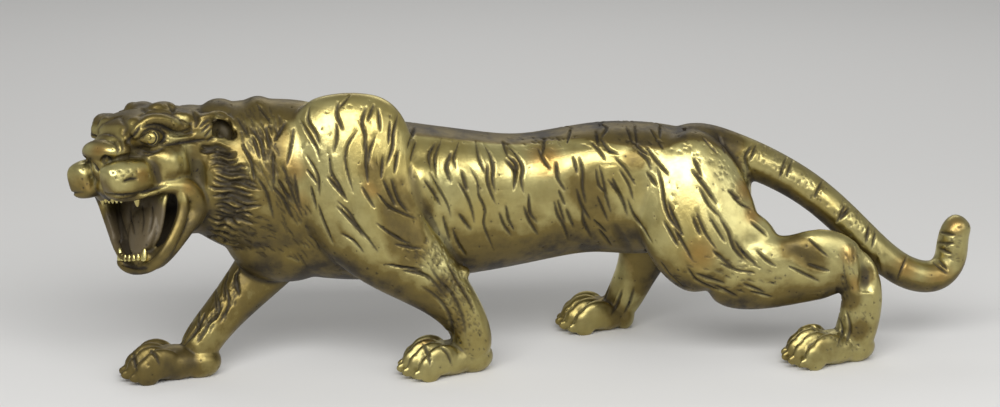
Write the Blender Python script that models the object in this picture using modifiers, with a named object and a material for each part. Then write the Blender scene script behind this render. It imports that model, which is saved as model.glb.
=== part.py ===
# Stalking tiger, cast in brass as one piece, with chased stripes.
# Blender 4.5. Metres in the scene, millimetres in the tables, +Z up, head towards -X.
# The soles lie in the plane Z = 0.

import math

import bmesh
import bpy
from mathutils import Matrix, Vector
from mathutils.bvhtree import BVHTree
from mathutils.kdtree import KDTree

MM = 0.001

# Surface quality
CLAY_GRAIN = 1.1
CLAY_PASSES = 8
DETAIL_GRAIN = 0.85
DETAIL_PASSES = 3
FACE_BUDGET = 11250
SECTION_SIDES = 16
FORM_LEVELS = 2

# The head: tip of the nose, and the way the face looks
NOSE_TIP = (-166.8, -33.0, 96.3)
FACE_HEADING = 221.0
HEAD_ROLL = 8.0

# Trunk, from rump to chest: x, y, top, bottom, half width
TRUNK = [
    (94, 0, 79, 60, 7),
    (86, 0, 85, 50, 14),
    (70, 0, 90, 43, 19.5),
    (50, 0, 93.5, 39, 21),
    (32, 0, 94, 42, 20),
    (16, -0.5, 91.2, 41, 20),
    (0, -1, 89.2, 38, 21),
    (-20, -2, 92.2, 35, 22.5),
    (-40, -3, 95.4, 33.5, 23),
    (-60, -4, 99, 34.5, 22.5),
    (-80, -5, 101.5, 36, 21),
    (-95, -4.5, 100, 42, 18),
    (-104, -4, 92, 54, 10),
]

# A station on a limb: x, y, z, half width across, half depth in the plane of the limb
NECK = [
    (-68, -5, 71, 17, 26),
    (-84, -5, 74, 22, 33),
    (-99, -4.5, 77, 23.5, 32),
    (-113, -3.5, 79.5, 24, 29.5),
    (-125, -3.5, 83.5, 22.5, 25),
    (-134, -6, 87, 16, 17),
]
LEFT_FORELEG = [
    (-69, -11, 111.5, 6, 12),
    (-69, -14.5, 105, 9.6, 21),
    (-69, -18.5, 90, 11, 26),
    (-65.5, -22, 68.5, 11.5, 24),
    (-55.5, -24, 54, 11, 19.5),
    (-42, -24.5, 42, 9.8, 14),
    (-31, -23.5, 31.5, 8.6, 10.4),
    (-24, -22.5, 21.5, 7.6, 8.4),
    (-21.5, -21.5, 12.5, 7.8, 8.6),
    (-23, -21, 5, 7.4, 7.8),
]
RIGHT_FORELEG = [
    (-75, 3, 99, 6, 12),
    (-76, 7, 92, 10, 20),
    (-78, 11, 78, 10.5, 22),
    (-84, 12, 62, 10.5, 18.5),
    (-93.5, 8, 48, 10, 14.5),
    (-102, 3.5, 38.5, 8.8, 11.4),
    (-111, -1.5, 30, 7.8, 9.4),
    (-120, -6, 21.5, 7, 8),
    (-128, -10, 13, 7, 7.8),
    (-131, -12, 6, 6.8, 7.4),
]
LEFT_THIGH = [
    (56, -6, 87, 8, 13),
    (62, -11, 79, 11, 20),
    (66, -15.5, 66, 12.5, 23.5),
    (70.5, -20, 52.5, 12.6, 24),
    (75, -23.5, 41.5, 11.5, 20),
    (79.5, -25, 33, 8.5, 13),
]
LEFT_SHANK = [
    (70, -24, 38, 8, 13),
    (87, -25.5, 38.5, 9, 17.6),
    (102, -26.8, 36.8, 7.6, 14),
    (111, -27, 39, 6.6, 14.6),
    (119, -27, 40.2, 6, 15),
    (127, -27, 39, 5.8, 12),
    (134, -27, 36, 5, 7),
]
LEFT_HOCK = [
    (126, -27, 45, 5, 5.5),
    (132, -27.4, 38.5, 6, 7.6),
    (134.6, -27.6, 29.5, 6.5, 8.4),
    (134.2, -28, 20, 6.8, 8.4),
    (132, -28, 11, 7.4, 8.4),
    (130, -28, 5, 7.2, 8),
]
RIGHT_THIGH = [
    (56, 6, 87, 8, 13),
    (59, 11, 77, 11, 20),
    (60, 16.5, 61, 12, 22),
    (58, 21, 45, 10.8, 16),
    (56, 24, 33, 9, 10.6),
    (52.5, 26.5, 23.5, 7.6, 8.4),
    (49, 28.5, 14.5, 7, 8),
    (45.5, 29.5, 8, 7, 7.2),
    (42, 30, 5, 7, 6.5),
]
TAIL = [
    (60, 0, 81, 10, 10),
    (73, 0, 84.5, 9.4, 9.4),
    (84, -0.5, 81.3, 8.2, 8.2),
    (98, -2, 76, 7.6, 7.6),
    (114, -6, 67.6, 7.1, 7.1),
    (126, -11, 58, 6.9, 6.9),
    (137, -15.5, 46.8, 6.7, 6.7),
    (148.5, -15.5, 35.8, 6.6, 6.6),
    (159, -14, 29.4, 6.9, 6.9),
    (169.5, -12.5, 28, 7, 7),
    (175, -11.5, 33, 6.8, 6.8),
    (176, -11, 41, 6.6, 6.6),
    (176.5, -11, 48, 6.4, 6.2),
    (181, -11, 52.5, 4.8, 4.8),
]

# A muscle: centre x, y, z, half length, half width, half height, pitch in degrees
MUSCLES = [
    (-47, -22, 70, 11, 8, 18, 28),
    (-24.5, -23.5, 41, 3.6, 4, 3, 0),
    (-93, -5, 56, 25, 16, 21, 0),
    (88, -23, 50, 14, 8, 11, 38),
]

# Pieces of the head in its own frame: forward, left, up from the tip of the nose
SKULL = [
    (-38, 0, -6, 20, 18.5, 17.5),
    (-49, 0, -8, 17, 20.5, 18),
    (-44, 0, -24, 14, 19, 16),
    (-27, 11.5, -8.5, 13, 8, 11),
    (-27, -11.5, -8.5, 13, 8, 11),
]
FOREHEAD = [
    (-42, 0, 1, 15, 9),
    (-32, 0, 3, 15.5, 8),
    (-23, 0, 3.4, 14, 7.4),
    (-15, 0, 2.8, 12, 6),
    (-9, 0, 1.6, 9, 4),
]
NOSE_BRIDGE = [
    (-38, 0, 1, 13, 11),
    (-26, 0, 0, 10.6, 10.6),
    (-17, 0, -0.6, 8.6, 9.6),
    (-9, 0, -3.5, 7.4, 7.6),
    (-4.5, 0, -5, 6.6, 5.6),
    (-2, 0, -5.5, 5, 4),
]
JAW = [
    (-45, 0, -21, 16, 9),
    (-36, 1, -28, 19, 6.8),
    (-28, 2.5, -35, 18.5, 5.6),
    (-21.5, 3.5, -41, 15.5, 5.2),
    (-16.5, 3.5, -45, 11.5, 5),
    (-12.8, 3, -47.4, 8.4, 4),
]
MOUTH = [
    (8, 10, -29.4, 26, 13.2),
    (-4, 10, -29.3, 26, 13),
    (-12, 10, -29, 26, 12.6),
    (-18, 10, -27, 26, 10.6),
    (-23, 10, -25.7, 24, 8.4),
    (-27, 10, -25.4, 20, 5.4),
]
THROAT = [
    (4, 2, -29, 9, 11),
    (-8, 2, -29, 12.5, 14.5),
    (-20, 1.5, -27.5, 16.5, 15.5),
    (-30, 1, -25, 15.5, 10),
    (-37, 0, -23, 10, 6),
]
TONGUE = [
    (-13.6, 2.5, -43.4, 4.5, 1.6),
    (-16.6, 1.5, -40, 8, 2.4),
    (-20, 0.5, -33.5, 10, 2.6),
    (-22.4, 0, -27, 10.6, 2.6),
    (-25, 0, -21, 11, 3),
    (-31, 0, -15, 11, 4),
]
LIP = [
    (-10, 14.5, -14.6, 1.8, 2),
    (-19.5, 16.6, -14.4, 2.2, 2.2),
    (-25, 18, -16, 2.5, 2.6),
    (-29, 19, -20.5, 2.8, 3),
    (-29.6, 19.6, -26, 2.8, 3),
    (-27.2, 20, -31, 2.4, 2.6),
    (-22, 19.8, -35.4, 2, 2.2),
    (-17, 18, -39.4, 1.8, 2.1),
    (-13.6, 14, -42.6, 1.7, 2),
    (-11.2, 8, -43.8, 1.7, 2),
    (-10.6, 2, -44, 1.7, 2),
]
FAR_LIP = [
    (-10, -14.5, -14.6, 1.8, 2),
    (-18, -16.4, -15, 2.2, 2.2),
    (-22, -17, -18, 2.4, 2.4),
    (-23, -16.6, -23.5, 2.4, 2.4),
    (-21.6, -14.6, -30, 2.2, 2.2),
    (-18.6, -12, -36, 1.9, 2),
    (-15, -9.6, -40.2, 1.7, 2),
    (-12.6, -6.6, -42.6, 1.7, 2),
    (-11, -3, -43.6, 1.7, 2),
    (-10.6, 2, -44, 1.7, 2),
]
BROW = [
    (-10.4, 8.4, 3, 1.8, 2),
    (-14, 10, 5.2, 2.7, 2.6),
    (-18.5, 11.7, 6.4, 3.1, 2.9),
    (-24, 13.6, 5.8, 2.7, 2.6),
    (-30, 15.8, 3.2, 2.2, 2.2),
    (-37, 17.6, 1.8, 2, 2.4),
]
PAD = [
    (-21.5, 14.5, -10.4, 4, 4),
    (-16.5, 13.4, -10.6, 6, 6),
    (-10.5, 11.6, -11, 7.6, 7),
    (-5.6, 9, -11.2, 7, 6.6),
    (-2.2, 7.4, -11.6, 4.6, 4.6),
]


# Stripes, drawn on the plane through the body that faces the viewer:
# millimetres across and up from the middle of the back of the floor line, 50 above the soles.
VIEW_AZIMUTH = -8.0
VIEW_ELEVATION = 15.0
VIEW_DISTANCE = 1100.0
VIEW_HEIGHT = 50.0
STRIPE_HALF_WIDTH = 1.25
STRIPE_DEPTH = 0.75
SHOULDER_STRIPES = [
    [(-84, 50), (-84.5, 45), (-81.5, 40), (-80, 36)],
    [(-87, 44), (-84, 39), (-81, 34), (-80, 30)],
    [(-72.5, 51), (-72.8, 47), (-70.8, 42)],
    [(-73, 42), (-73, 37), (-74, 33)],
    [(-61.5, 49), (-62.8, 44), (-61.5, 39), (-62, 34)],
    [(-56, 48), (-55.5, 42)],
    [(-65.5, 39.5), (-68.5, 35), (-69.5, 29), (-68, 22), (-66.5, 17)],
    [(-61, 35), (-61.2, 28), (-60.5, 21)],
    [(-58, 37), (-59.5, 33), (-60, 29)],
    [(-75.7, 29.5), (-75, 24), (-72, 19), (-69.5, 14)],
    [(-84.5, 30), (-82, 26), (-80.3, 22), (-80, 16)],
    [(-90.5, 40), (-91, 35), (-92.5, 28)],
    [(-94, 26), (-92, 20), (-90, 14), (-87, 7)],
    [(-97.5, 17.5), (-94, 13), (-91, 7)],
    [(-80, 10), (-78, 4), (-75, -3)],
    [(-72, 12), (-68, 8), (-64, 2), (-60, -3), (-57, -7)],
    [(-62, 17), (-58.5, 11)],
    [(-48.5, 46), (-50, 40), (-50.5, 34), (-52.5, 28)],
    [(-42, 41), (-44, 35)],
    [(-54.5, 29), (-55, 23)],
    [(-48.5, 31), (-49.5, 25)],
    [(-56, 15), (-52, 10.5), (-47, 8), (-42, 6)],
    [(-50.5, 20), (-48, 13), (-45, 9)],
    [(-56, 3), (-52, 0), (-47, -3), (-44, -4.5)],
    [(-52, -13), (-46, -14), (-41, -14.5)],
]
FLANK_STRIPES = [
    [(-34, 35), (-36, 31), (-35.5, 27)],
    [(-31.5, 36), (-33.5, 30), (-33, 24)],
    [(-27.5, 31), (-29, 26), (-27.5, 21)],
    [(-24.5, 35), (-26, 30), (-25.5, 27)],
    [(-17, 35), (-16, 30), (-14, 25)],
    [(-13.5, 34.5), (-11.5, 31), (-10.3, 26), (-10.5, 21), (-9.5, 17)],
    [(-19, 25), (-16.5, 20), (-16, 15), (-13.5, 9), (-14, 3), (-10.5, -6)],
    [(-23.5, 19), (-20.5, 14), (-18.5, 8), (-18, 5)],
    [(-34.5, 22.5), (-31, 16), (-28.5, 11), (-27.5, 7.5)],
    [(-4, 34.5), (-1, 31), (1.5, 26), (1, 21), (1.8, 16.5)],
    [(-4.5, 28.5), (-1.5, 24), (-2, 18)],
    [(8, 33), (10, 29), (12, 26)],
    [(15, 27), (15.5, 22), (18, 17.5)],
    [(-5, 9.5), (-4, 5), (-2.5, 2)],
    [(2.5, 9), (4, 5), (7, 0)],
    [(14.5, 11), (15.5, 7), (18, 2.5), (19.5, -2)],
    [(24.5, 29), (25.5, 24), (25.5, 18), (26.5, 13)],
    [(23.5, 16), (25, 11), (28, 6)],
    [(25.5, 8), (26, 4), (28.5, -1)],
]
HAUNCH_STRIPES = [
    [(29.5, 35.5), (32, 33), (34, 30)],
    [(33.5, 36.5), (36, 33), (38.5, 32)],
    [(39.5, 29), (43, 25), (46, 20)],
    [(41, 24), (44, 19), (45.5, 14)],
    [(32.5, 25.5), (34, 20), (35, 14), (36.5, 9)],
    [(36.5, 20), (41, 14), (43, 8)],
    [(44, 12), (46, 7), (50, 1), (52.5, -3)],
    [(52, 33), (55.5, 28), (59, 24)],
    [(55.5, 24.5), (57, 19), (58, 12), (60, 6), (64, 1)],
    [(58.5, 3.5), (60.5, 0), (63, -4.5)],
    [(63, 0), (66, -5), (69, -10.5)],
    [(70, 24), (74, 19), (78.5, 12.5)],
    [(73, 16.5), (76, 11), (80, 7)],
    [(71.5, 7), (74.5, 0), (78.5, -6)],
    [(77, 5), (79.5, 1), (82, -3)],
    [(81, 5), (84, 0), (86, -6), (90, -11)],
    [(87, -4), (90, -8), (95, -13)],
    [(82, -13), (87, -15), (93, -16)],
    [(51.5, -8), (54, -11.5), (57, -14)],
    [(68, -15), (71, -19), (76, -21.5), (80, -23)],
    [(86.5, 13.5), (89, 11.5), (92, 10)],
    [(109, -14), (114, -16.5), (119, -19)],
]


def head_frame():
    turn = math.radians(FACE_HEADING)
    forward = Vector((math.cos(turn), math.sin(turn), 0))
    left = Vector((-math.sin(turn), math.cos(turn), 0))
    axes = Matrix((forward, left, Vector((0, 0, 1)))).transposed().to_4x4()
    axes = axes @ Matrix.Rotation(math.radians(HEAD_ROLL), 4, "X")
    return Matrix.Translation(Vector(NOSE_TIP)) @ axes


HEAD = head_frame()
WORLD = Matrix.Identity(4)


def loft(name, stations, across=(0, 1, 0), frame=WORLD, flatness=(2.0, 2.0)):
    """A limb through oval sections, as a cage under Subdivision Surface.

    The flatness squares the upper and the lower half of each section; 2 is an oval.
    """
    swell = 6 / (4 + 2 * math.cos(2 * math.pi / SECTION_SIDES))
    points = [Vector(s[:3]) for s in stations]
    form = bmesh.new()
    rings = []
    for i, station in enumerate(stations):
        tangent = points[min(i + 1, len(points) - 1)] - points[max(i - 1, 0)]
        tangent.normalize()
        side = Vector(across) - tangent * tangent.dot(Vector(across))
        side.normalize()
        lift = tangent.cross(side)
        ring = []
        for k in range(SECTION_SIDES):
            angle = 2 * math.pi * k / SECTION_SIDES
            c, s = math.cos(angle), math.sin(angle)
            power = 2 / flatness[0 if s * lift.z >= 0 else 1]
            wide = math.copysign(abs(c) ** power, c) * station[3] * swell
            deep = math.copysign(abs(s) ** power, s) * station[4] * swell
            spot = points[i] + side * wide + lift * deep
            ring.append(form.verts.new(frame @ spot * MM))
        rings.append(ring)
    for a, b in zip(rings, rings[1:]):
        for k in range(SECTION_SIDES):
            n = (k + 1) % SECTION_SIDES
            form.faces.new((a[k], a[n], b[n], b[k]))
    form.faces.new(rings[0])
    form.faces.new(rings[-1])
    bmesh.ops.recalc_face_normals(form, faces=form.faces)
    return finish(name, form)


def ball(name, centre, radii, turn=WORLD, frame=WORLD):
    form = bmesh.new()
    size = Matrix.Diagonal(Vector((*radii, 1)))
    place = frame @ Matrix.Translation(Vector(centre)) @ turn @ size
    bmesh.ops.create_uvsphere(form, u_segments=24, v_segments=16, radius=1)
    form.transform(Matrix.Scale(MM, 4) @ place)
    return finish(name, form, levels=0)


def finish(name, form, levels=FORM_LEVELS):
    mesh = bpy.data.meshes.new(name)
    form.to_mesh(mesh)
    form.free()
    piece = bpy.data.objects.new(name, mesh)
    bpy.context.scene.collection.objects.link(piece)
    if levels:
        subdivision = piece.modifiers.new("round", "SUBSURF")
        subdivision.levels = levels
        subdivision.render_levels = levels
    return piece


def tilt(yaw=0, pitch=0, roll=0):
    return (
        Matrix.Rotation(math.radians(yaw), 4, "Z")
        @ Matrix.Rotation(math.radians(pitch), 4, "Y")
        @ Matrix.Rotation(math.radians(roll), 4, "X")
    )


def body_forms():
    stations = [
        (x, y, (top + bottom) / 2, width, (top - bottom) / 2)
        for x, y, top, bottom, width in TRUNK
    ]
    pieces = [loft("trunk", stations, flatness=(2.7, 2.1))]
    limbs = {
        "neck": NECK,
        "left_foreleg": LEFT_FORELEG,
        "right_foreleg": RIGHT_FORELEG,
        "left_thigh": LEFT_THIGH,
        "left_shank": LEFT_SHANK,
        "left_hock": LEFT_HOCK,
        "right_thigh": RIGHT_THIGH,
        "tail": TAIL,
    }
    pieces += [loft(name, limb) for name, limb in limbs.items()]
    for i, (x, y, z, long, wide, high, pitch) in enumerate(MUSCLES):
        pieces.append(ball(f"muscle_{i}", (x, y, z), (long, wide, high), tilt(pitch=pitch)))
    for i, (f, l, u, rf, rl, ru) in enumerate(SKULL):
        pieces.append(ball(f"skull_{i}", (f, l, u), (rf, rl, ru), frame=HEAD))
    pieces.append(loft("forehead", FOREHEAD, frame=HEAD, flatness=(3, 2)))
    pieces.append(loft("nose_bridge", NOSE_BRIDGE, frame=HEAD))
    pieces.append(loft("jaw", JAW, frame=HEAD, flatness=(2.4, 2.2)))
    pieces.append(ball("muzzle", (-17, 0, -9), (13, 11.5, 8), frame=HEAD))
    return pieces


def paw(name, ankle, heading, long=34, wide=20, high=14, heel=9):
    """Heel, instep and four toes on the floor; heading in degrees in plan."""
    frame = Matrix.Translation(Vector((*ankle, 0))) @ tilt(yaw=heading)
    pieces = [
        ball(name + "_heel", (-1, 0, 5.5), (heel, wide * 0.4, 6.8), frame=frame),
        ball(name + "_instep", (long * 0.26, 0, 6), (long * 0.38, wide * 0.45, 7), frame=frame),
    ]
    for i, (side, reach) in enumerate(((-0.36, 0.9), (-0.125, 1.0), (0.125, 1.0), (0.36, 0.9))):
        tip = long * 0.74 * reach
        turn = tilt(yaw=math.degrees(side * 0.4))
        knuckle = (tip - 8.5, side * wide, high * 0.56)
        toe = (tip - 3.2, side * wide * 1.08, high * 0.36)
        pieces.append(ball(f"{name}_knuckle_{i}", knuckle, (7.6, 3.4, high * 0.43), turn, frame))
        pieces.append(ball(f"{name}_toe_{i}", toe, (5.2, 3.5, high * 0.42), turn, frame))
    return pieces


def head_details():
    def place(name, centre, radii, yaw=0, pitch=0, roll=0):
        return ball(name, centre, radii, tilt(yaw, pitch, roll), HEAD)

    def mirror(stations, s):
        return [(f, s * l, u, wide, deep) for f, l, u, wide, deep in stations]

    pieces = [
        place("nose", (-4, 0, -0.9), (5, 10, 4.5), pitch=-14),
        loft("tongue", TONGUE, frame=HEAD, flatness=(2.6, 2.6)),
        loft("left_lip", LIP, across=(0.2, 1, 0.1), frame=HEAD),
        loft("right_lip", FAR_LIP, across=(0.2, 1, 0.1), frame=HEAD),
    ]
    for s, side in ((1, "left"), (-1, "right")):
        gum = [
            (-6.4, s * -0.5, -17.8, 1.6, 2.4),
            (-7.2, s * 6, -17.8, 1.6, 2.4),
            (-10.6, s * 10.6, -17.8, 1.6, 2),
            (-16, s * 13.8, -18, 1.5, 2),
            (-24, s * 15.4, -18.4, 1.5, 2),
        ]
        pieces += [
            loft(side + "_brow", mirror(BROW, s), across=(0, 0, 1), frame=HEAD),
            loft(side + "_pad", mirror(PAD, s), frame=HEAD, flatness=(2.4, 3.2)),
            loft(side + "_gum", gum, across=(0, 0, 1), frame=HEAD),
            place(side + "_upper_fang", (-9.8, s * 8.2, -20.4), (1.4, 1.4, 3.2)),
            place(side + "_lower_fang", (-13, 2.5 + s * 6, -42), (1.5, 1.5, 3.6)),
            place(side + "_wing", (-5.8, s * 7.4, -2.2), (4.4, 3.4, 3.4)),
            place(side + "_eye", (-18.4, s * 11.6, 2.2), (4.3, 4.3, 4.3)),
            place(side + "_cheek", (-27.5, s * 12.6, -7.6), (9, 7, 9.4), yaw=-s * 12),
            place(side + "_ear", (-45, s * 17, 0.6), (9.6, 5, 6), yaw=-s * 8, pitch=-14),
        ]
    return pieces


def melt(name, pieces, grain, passes, cutters=()):
    """Fuses overlapping closed forms into one skin and softens the joins."""
    graph = bpy.context.evaluated_depsgraph_get()
    whole = bmesh.new()
    for piece in pieces:
        mesh = bpy.data.meshes.new_from_object(piece.evaluated_get(graph))
        whole.from_mesh(mesh)
        bpy.data.meshes.remove(mesh)
    for piece in pieces:
        bpy.data.objects.remove(piece)
    solid = finish(name, whole, levels=0)
    remesh = solid.modifiers.new("skin", "REMESH")
    remesh.mode = "VOXEL"
    remesh.voxel_size = grain * MM
    for cutter in cutters:
        cut = solid.modifiers.new("cut", "BOOLEAN")
        cut.operation = "DIFFERENCE"
        cut.solver = "EXACT"
        cut.object = cutter
    smooth = solid.modifiers.new("soften", "SMOOTH")
    smooth.factor = 0.5
    smooth.iterations = passes
    graph = bpy.context.evaluated_depsgraph_get()
    mesh = bpy.data.meshes.new_from_object(solid.evaluated_get(graph))
    solid.modifiers.clear()
    old = solid.data
    solid.data = mesh
    bpy.data.meshes.remove(old)
    for cutter in cutters:
        bpy.data.objects.remove(cutter)
    return solid


def drawing_plane(mirrored):
    """The eye, and the drawing's own axes; mirrored looks from the right side of the animal."""
    azimuth, elevation = math.radians(VIEW_AZIMUTH), math.radians(VIEW_ELEVATION)
    flip = -1 if mirrored else 1
    right = Vector((math.cos(azimuth), flip * math.sin(azimuth), 0))
    back = Vector((
        math.sin(azimuth) * math.cos(elevation),
        -flip * math.cos(azimuth) * math.cos(elevation),
        math.sin(elevation),
    ))
    up = back.cross(right) * flip
    centre = Vector((0, 0, VIEW_HEIGHT))
    return centre + back * VIEW_DISTANCE, centre, right, up


def on_the_skin(skin, line, mirrored, spacing=0.8):
    """Points of a drawn line, laid on the surface along the line of sight."""
    eye, centre, right, up = drawing_plane(mirrored)
    laid = []
    for (a0, b0), (a1, b1) in zip(line, line[1:]):
        steps = max(1, round(math.hypot(a1 - a0, b1 - b0) / spacing))
        for k in range(steps + 1):
            part = k / steps
            spot = centre + right * (a0 + (a1 - a0) * part) + up * (b0 + (b1 - b0) * part)
            hit = skin.ray_cast(eye * MM, (spot - eye).normalized())
            if hit[0] is not None:
                laid.append(hit[0])
    return laid


def chase(solid, lines, mirrored):
    """Presses tapered grooves into the skin along the drawn lines."""
    mesh = solid.data
    skin = BVHTree.FromObject(solid, bpy.context.evaluated_depsgraph_get())
    near = KDTree(len(mesh.vertices))
    for vertex in mesh.vertices:
        near.insert(vertex.co, vertex.index)
    near.balance()
    press = {}
    for line in lines:
        laid = on_the_skin(skin, line, mirrored)
        for k, spot in enumerate(laid):
            taper = math.sqrt(math.sin(math.pi * (k + 0.5) / len(laid)))
            half = STRIPE_HALF_WIDTH * (0.45 + 0.55 * taper) * MM
            for _, index, distance in near.find_range(spot, half):
                depth = STRIPE_DEPTH * taper * (1 - (distance / half) ** 2)
                press[index] = max(press.get(index, 0), depth)
    normals = {index: mesh.vertices[index].normal.copy() for index in press}
    for index, depth in press.items():
        mesh.vertices[index].co -= normals[index] * depth * MM
    mesh.update()


def thin_out(solid):
    """Fewer faces, flat soles at the floor, and the origin under the middle of the whole."""
    thin = solid.modifiers.new("thin", "DECIMATE")
    thin.ratio = FACE_BUDGET / (2 * len(solid.data.polygons))
    thin.use_collapse_triangulate = True
    graph = bpy.context.evaluated_depsgraph_get()
    form = bmesh.new()
    form.from_mesh(solid.evaluated_get(graph).data)
    solid.modifiers.clear()
    whole = form.verts[:] + form.edges[:] + form.faces[:]
    bmesh.ops.bisect_plane(form, geom=whole, dist=1e-6, plane_co=(0, 0, 0), plane_no=(0, 0, -1), clear_outer=True)
    soles = bmesh.ops.edgeloop_fill(form, edges=[e for e in form.edges if e.is_boundary])
    bmesh.ops.triangulate(form, faces=soles["faces"])
    bmesh.ops.dissolve_degenerate(form, dist=2e-5, edges=form.edges)
    bmesh.ops.triangulate(form, faces=form.faces)
    bmesh.ops.recalc_face_normals(form, faces=form.faces)
    low = [min(v.co[i] for v in form.verts) for i in range(3)]
    high = [max(v.co[i] for v in form.verts) for i in range(3)]
    middle = Vector(((low[0] + high[0]) / 2, (low[1] + high[1]) / 2, 0))
    bmesh.ops.translate(form, verts=form.verts, vec=-middle)
    form.to_mesh(solid.data)
    form.free()


def brass():
    metal = bpy.data.materials.new("brass")
    metal.use_nodes = True
    surface = metal.node_tree.nodes["Principled BSDF"]
    surface.inputs["Base Color"].default_value = (0.62, 0.47, 0.16, 1)
    surface.inputs["Metallic"].default_value = 1.0
    surface.inputs["Roughness"].default_value = 0.32
    return metal


def main():
    for old in list(bpy.data.objects):
        bpy.data.objects.remove(old)
    cutters = [
        loft("mouth", MOUTH, frame=HEAD, flatness=(3, 3)),
        loft("throat", THROAT, frame=HEAD),
    ]
    body = melt("body", body_forms(), CLAY_GRAIN, CLAY_PASSES, cutters)
    details = [body] + head_details()
    details += paw("left_fore_paw", (-23, -20), 196)
    details += paw("right_fore_paw", (-130, -12), 188, long=35, wide=19)
    details += paw("left_hind_paw", (130.5, -27.5), 193, long=34)
    details += paw("right_hind_paw", (46.5, 30), 188, long=31, heel=5)
    tiger = melt("tiger_casting", details, DETAIL_GRAIN, DETAIL_PASSES)
    stripes = SHOULDER_STRIPES + FLANK_STRIPES + HAUNCH_STRIPES
    chase(tiger, stripes, mirrored=False)
    chase(tiger, stripes, mirrored=True)
    thin_out(tiger)
    tiger.data.materials.append(brass())
    casting = bpy.data.collections.new("tiger_figurine")
    bpy.context.scene.collection.children.link(casting)
    bpy.context.scene.collection.objects.unlink(tiger)
    casting.objects.link(tiger)


main()
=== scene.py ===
import math
import random

import bmesh
import bpy
import numpy as np
from mathutils import Matrix, Vector
from mathutils.bvhtree import BVHTree
from mathutils.kdtree import KDTree


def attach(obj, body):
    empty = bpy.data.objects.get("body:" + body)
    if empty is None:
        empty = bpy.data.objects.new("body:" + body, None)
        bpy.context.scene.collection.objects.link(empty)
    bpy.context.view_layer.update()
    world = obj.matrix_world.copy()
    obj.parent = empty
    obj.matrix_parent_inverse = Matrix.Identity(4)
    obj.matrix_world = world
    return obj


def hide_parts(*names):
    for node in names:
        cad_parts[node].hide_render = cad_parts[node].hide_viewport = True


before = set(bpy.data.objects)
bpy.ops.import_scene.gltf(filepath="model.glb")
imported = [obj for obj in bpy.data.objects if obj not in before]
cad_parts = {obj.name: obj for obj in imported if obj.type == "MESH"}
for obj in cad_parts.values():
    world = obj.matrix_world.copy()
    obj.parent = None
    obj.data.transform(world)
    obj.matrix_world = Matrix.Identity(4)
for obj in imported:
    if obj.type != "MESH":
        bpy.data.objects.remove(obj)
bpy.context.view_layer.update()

# Brass tiger on the prowl, one casting, chased and rubbed.
# Tables are in millimetres, in the sculptor's frame: head towards -X, soles on Z = 0.

mm = 0.001
shiftX, shiftY = -4.649, 2.414  # from the sculptor's frame to the frame of the solids
toModel = Matrix.Translation(Vector((shiftX, shiftY, 0)))

clay = {
    "grain": 0.95,  # voxel of the rough body
    "passes": 8,
    "fineGrain": 0.5,  # voxel once the face and the paws are on
    "finePasses": 5,
    "triangles": 190000,
    "sides": 20,
}

pose = {
    "noseTip": (-166.8, -33.0, 96.3),
    "faceHeading": 221.0,
    "headRoll": 8.0,
}

# rump to chest: x, y, top, bottom, half width
trunk = [
    (94, 0, 79, 60, 7), (86, 0, 85, 50, 14), (70, 0, 90, 43, 19.5), (50, 0, 93.5, 39, 21),
    (32, 0, 94, 42, 20), (16, -0.5, 91.2, 41, 20), (0, -1, 89.2, 38, 21), (-20, -2, 92.2, 35, 22.5),
    (-40, -3, 95.4, 33.5, 23), (-60, -4, 99, 34.5, 22.5), (-80, -5, 101.5, 36, 21), (-95, -4.5, 100, 42, 18),
    (-104, -4, 92, 54, 10),
]

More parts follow.
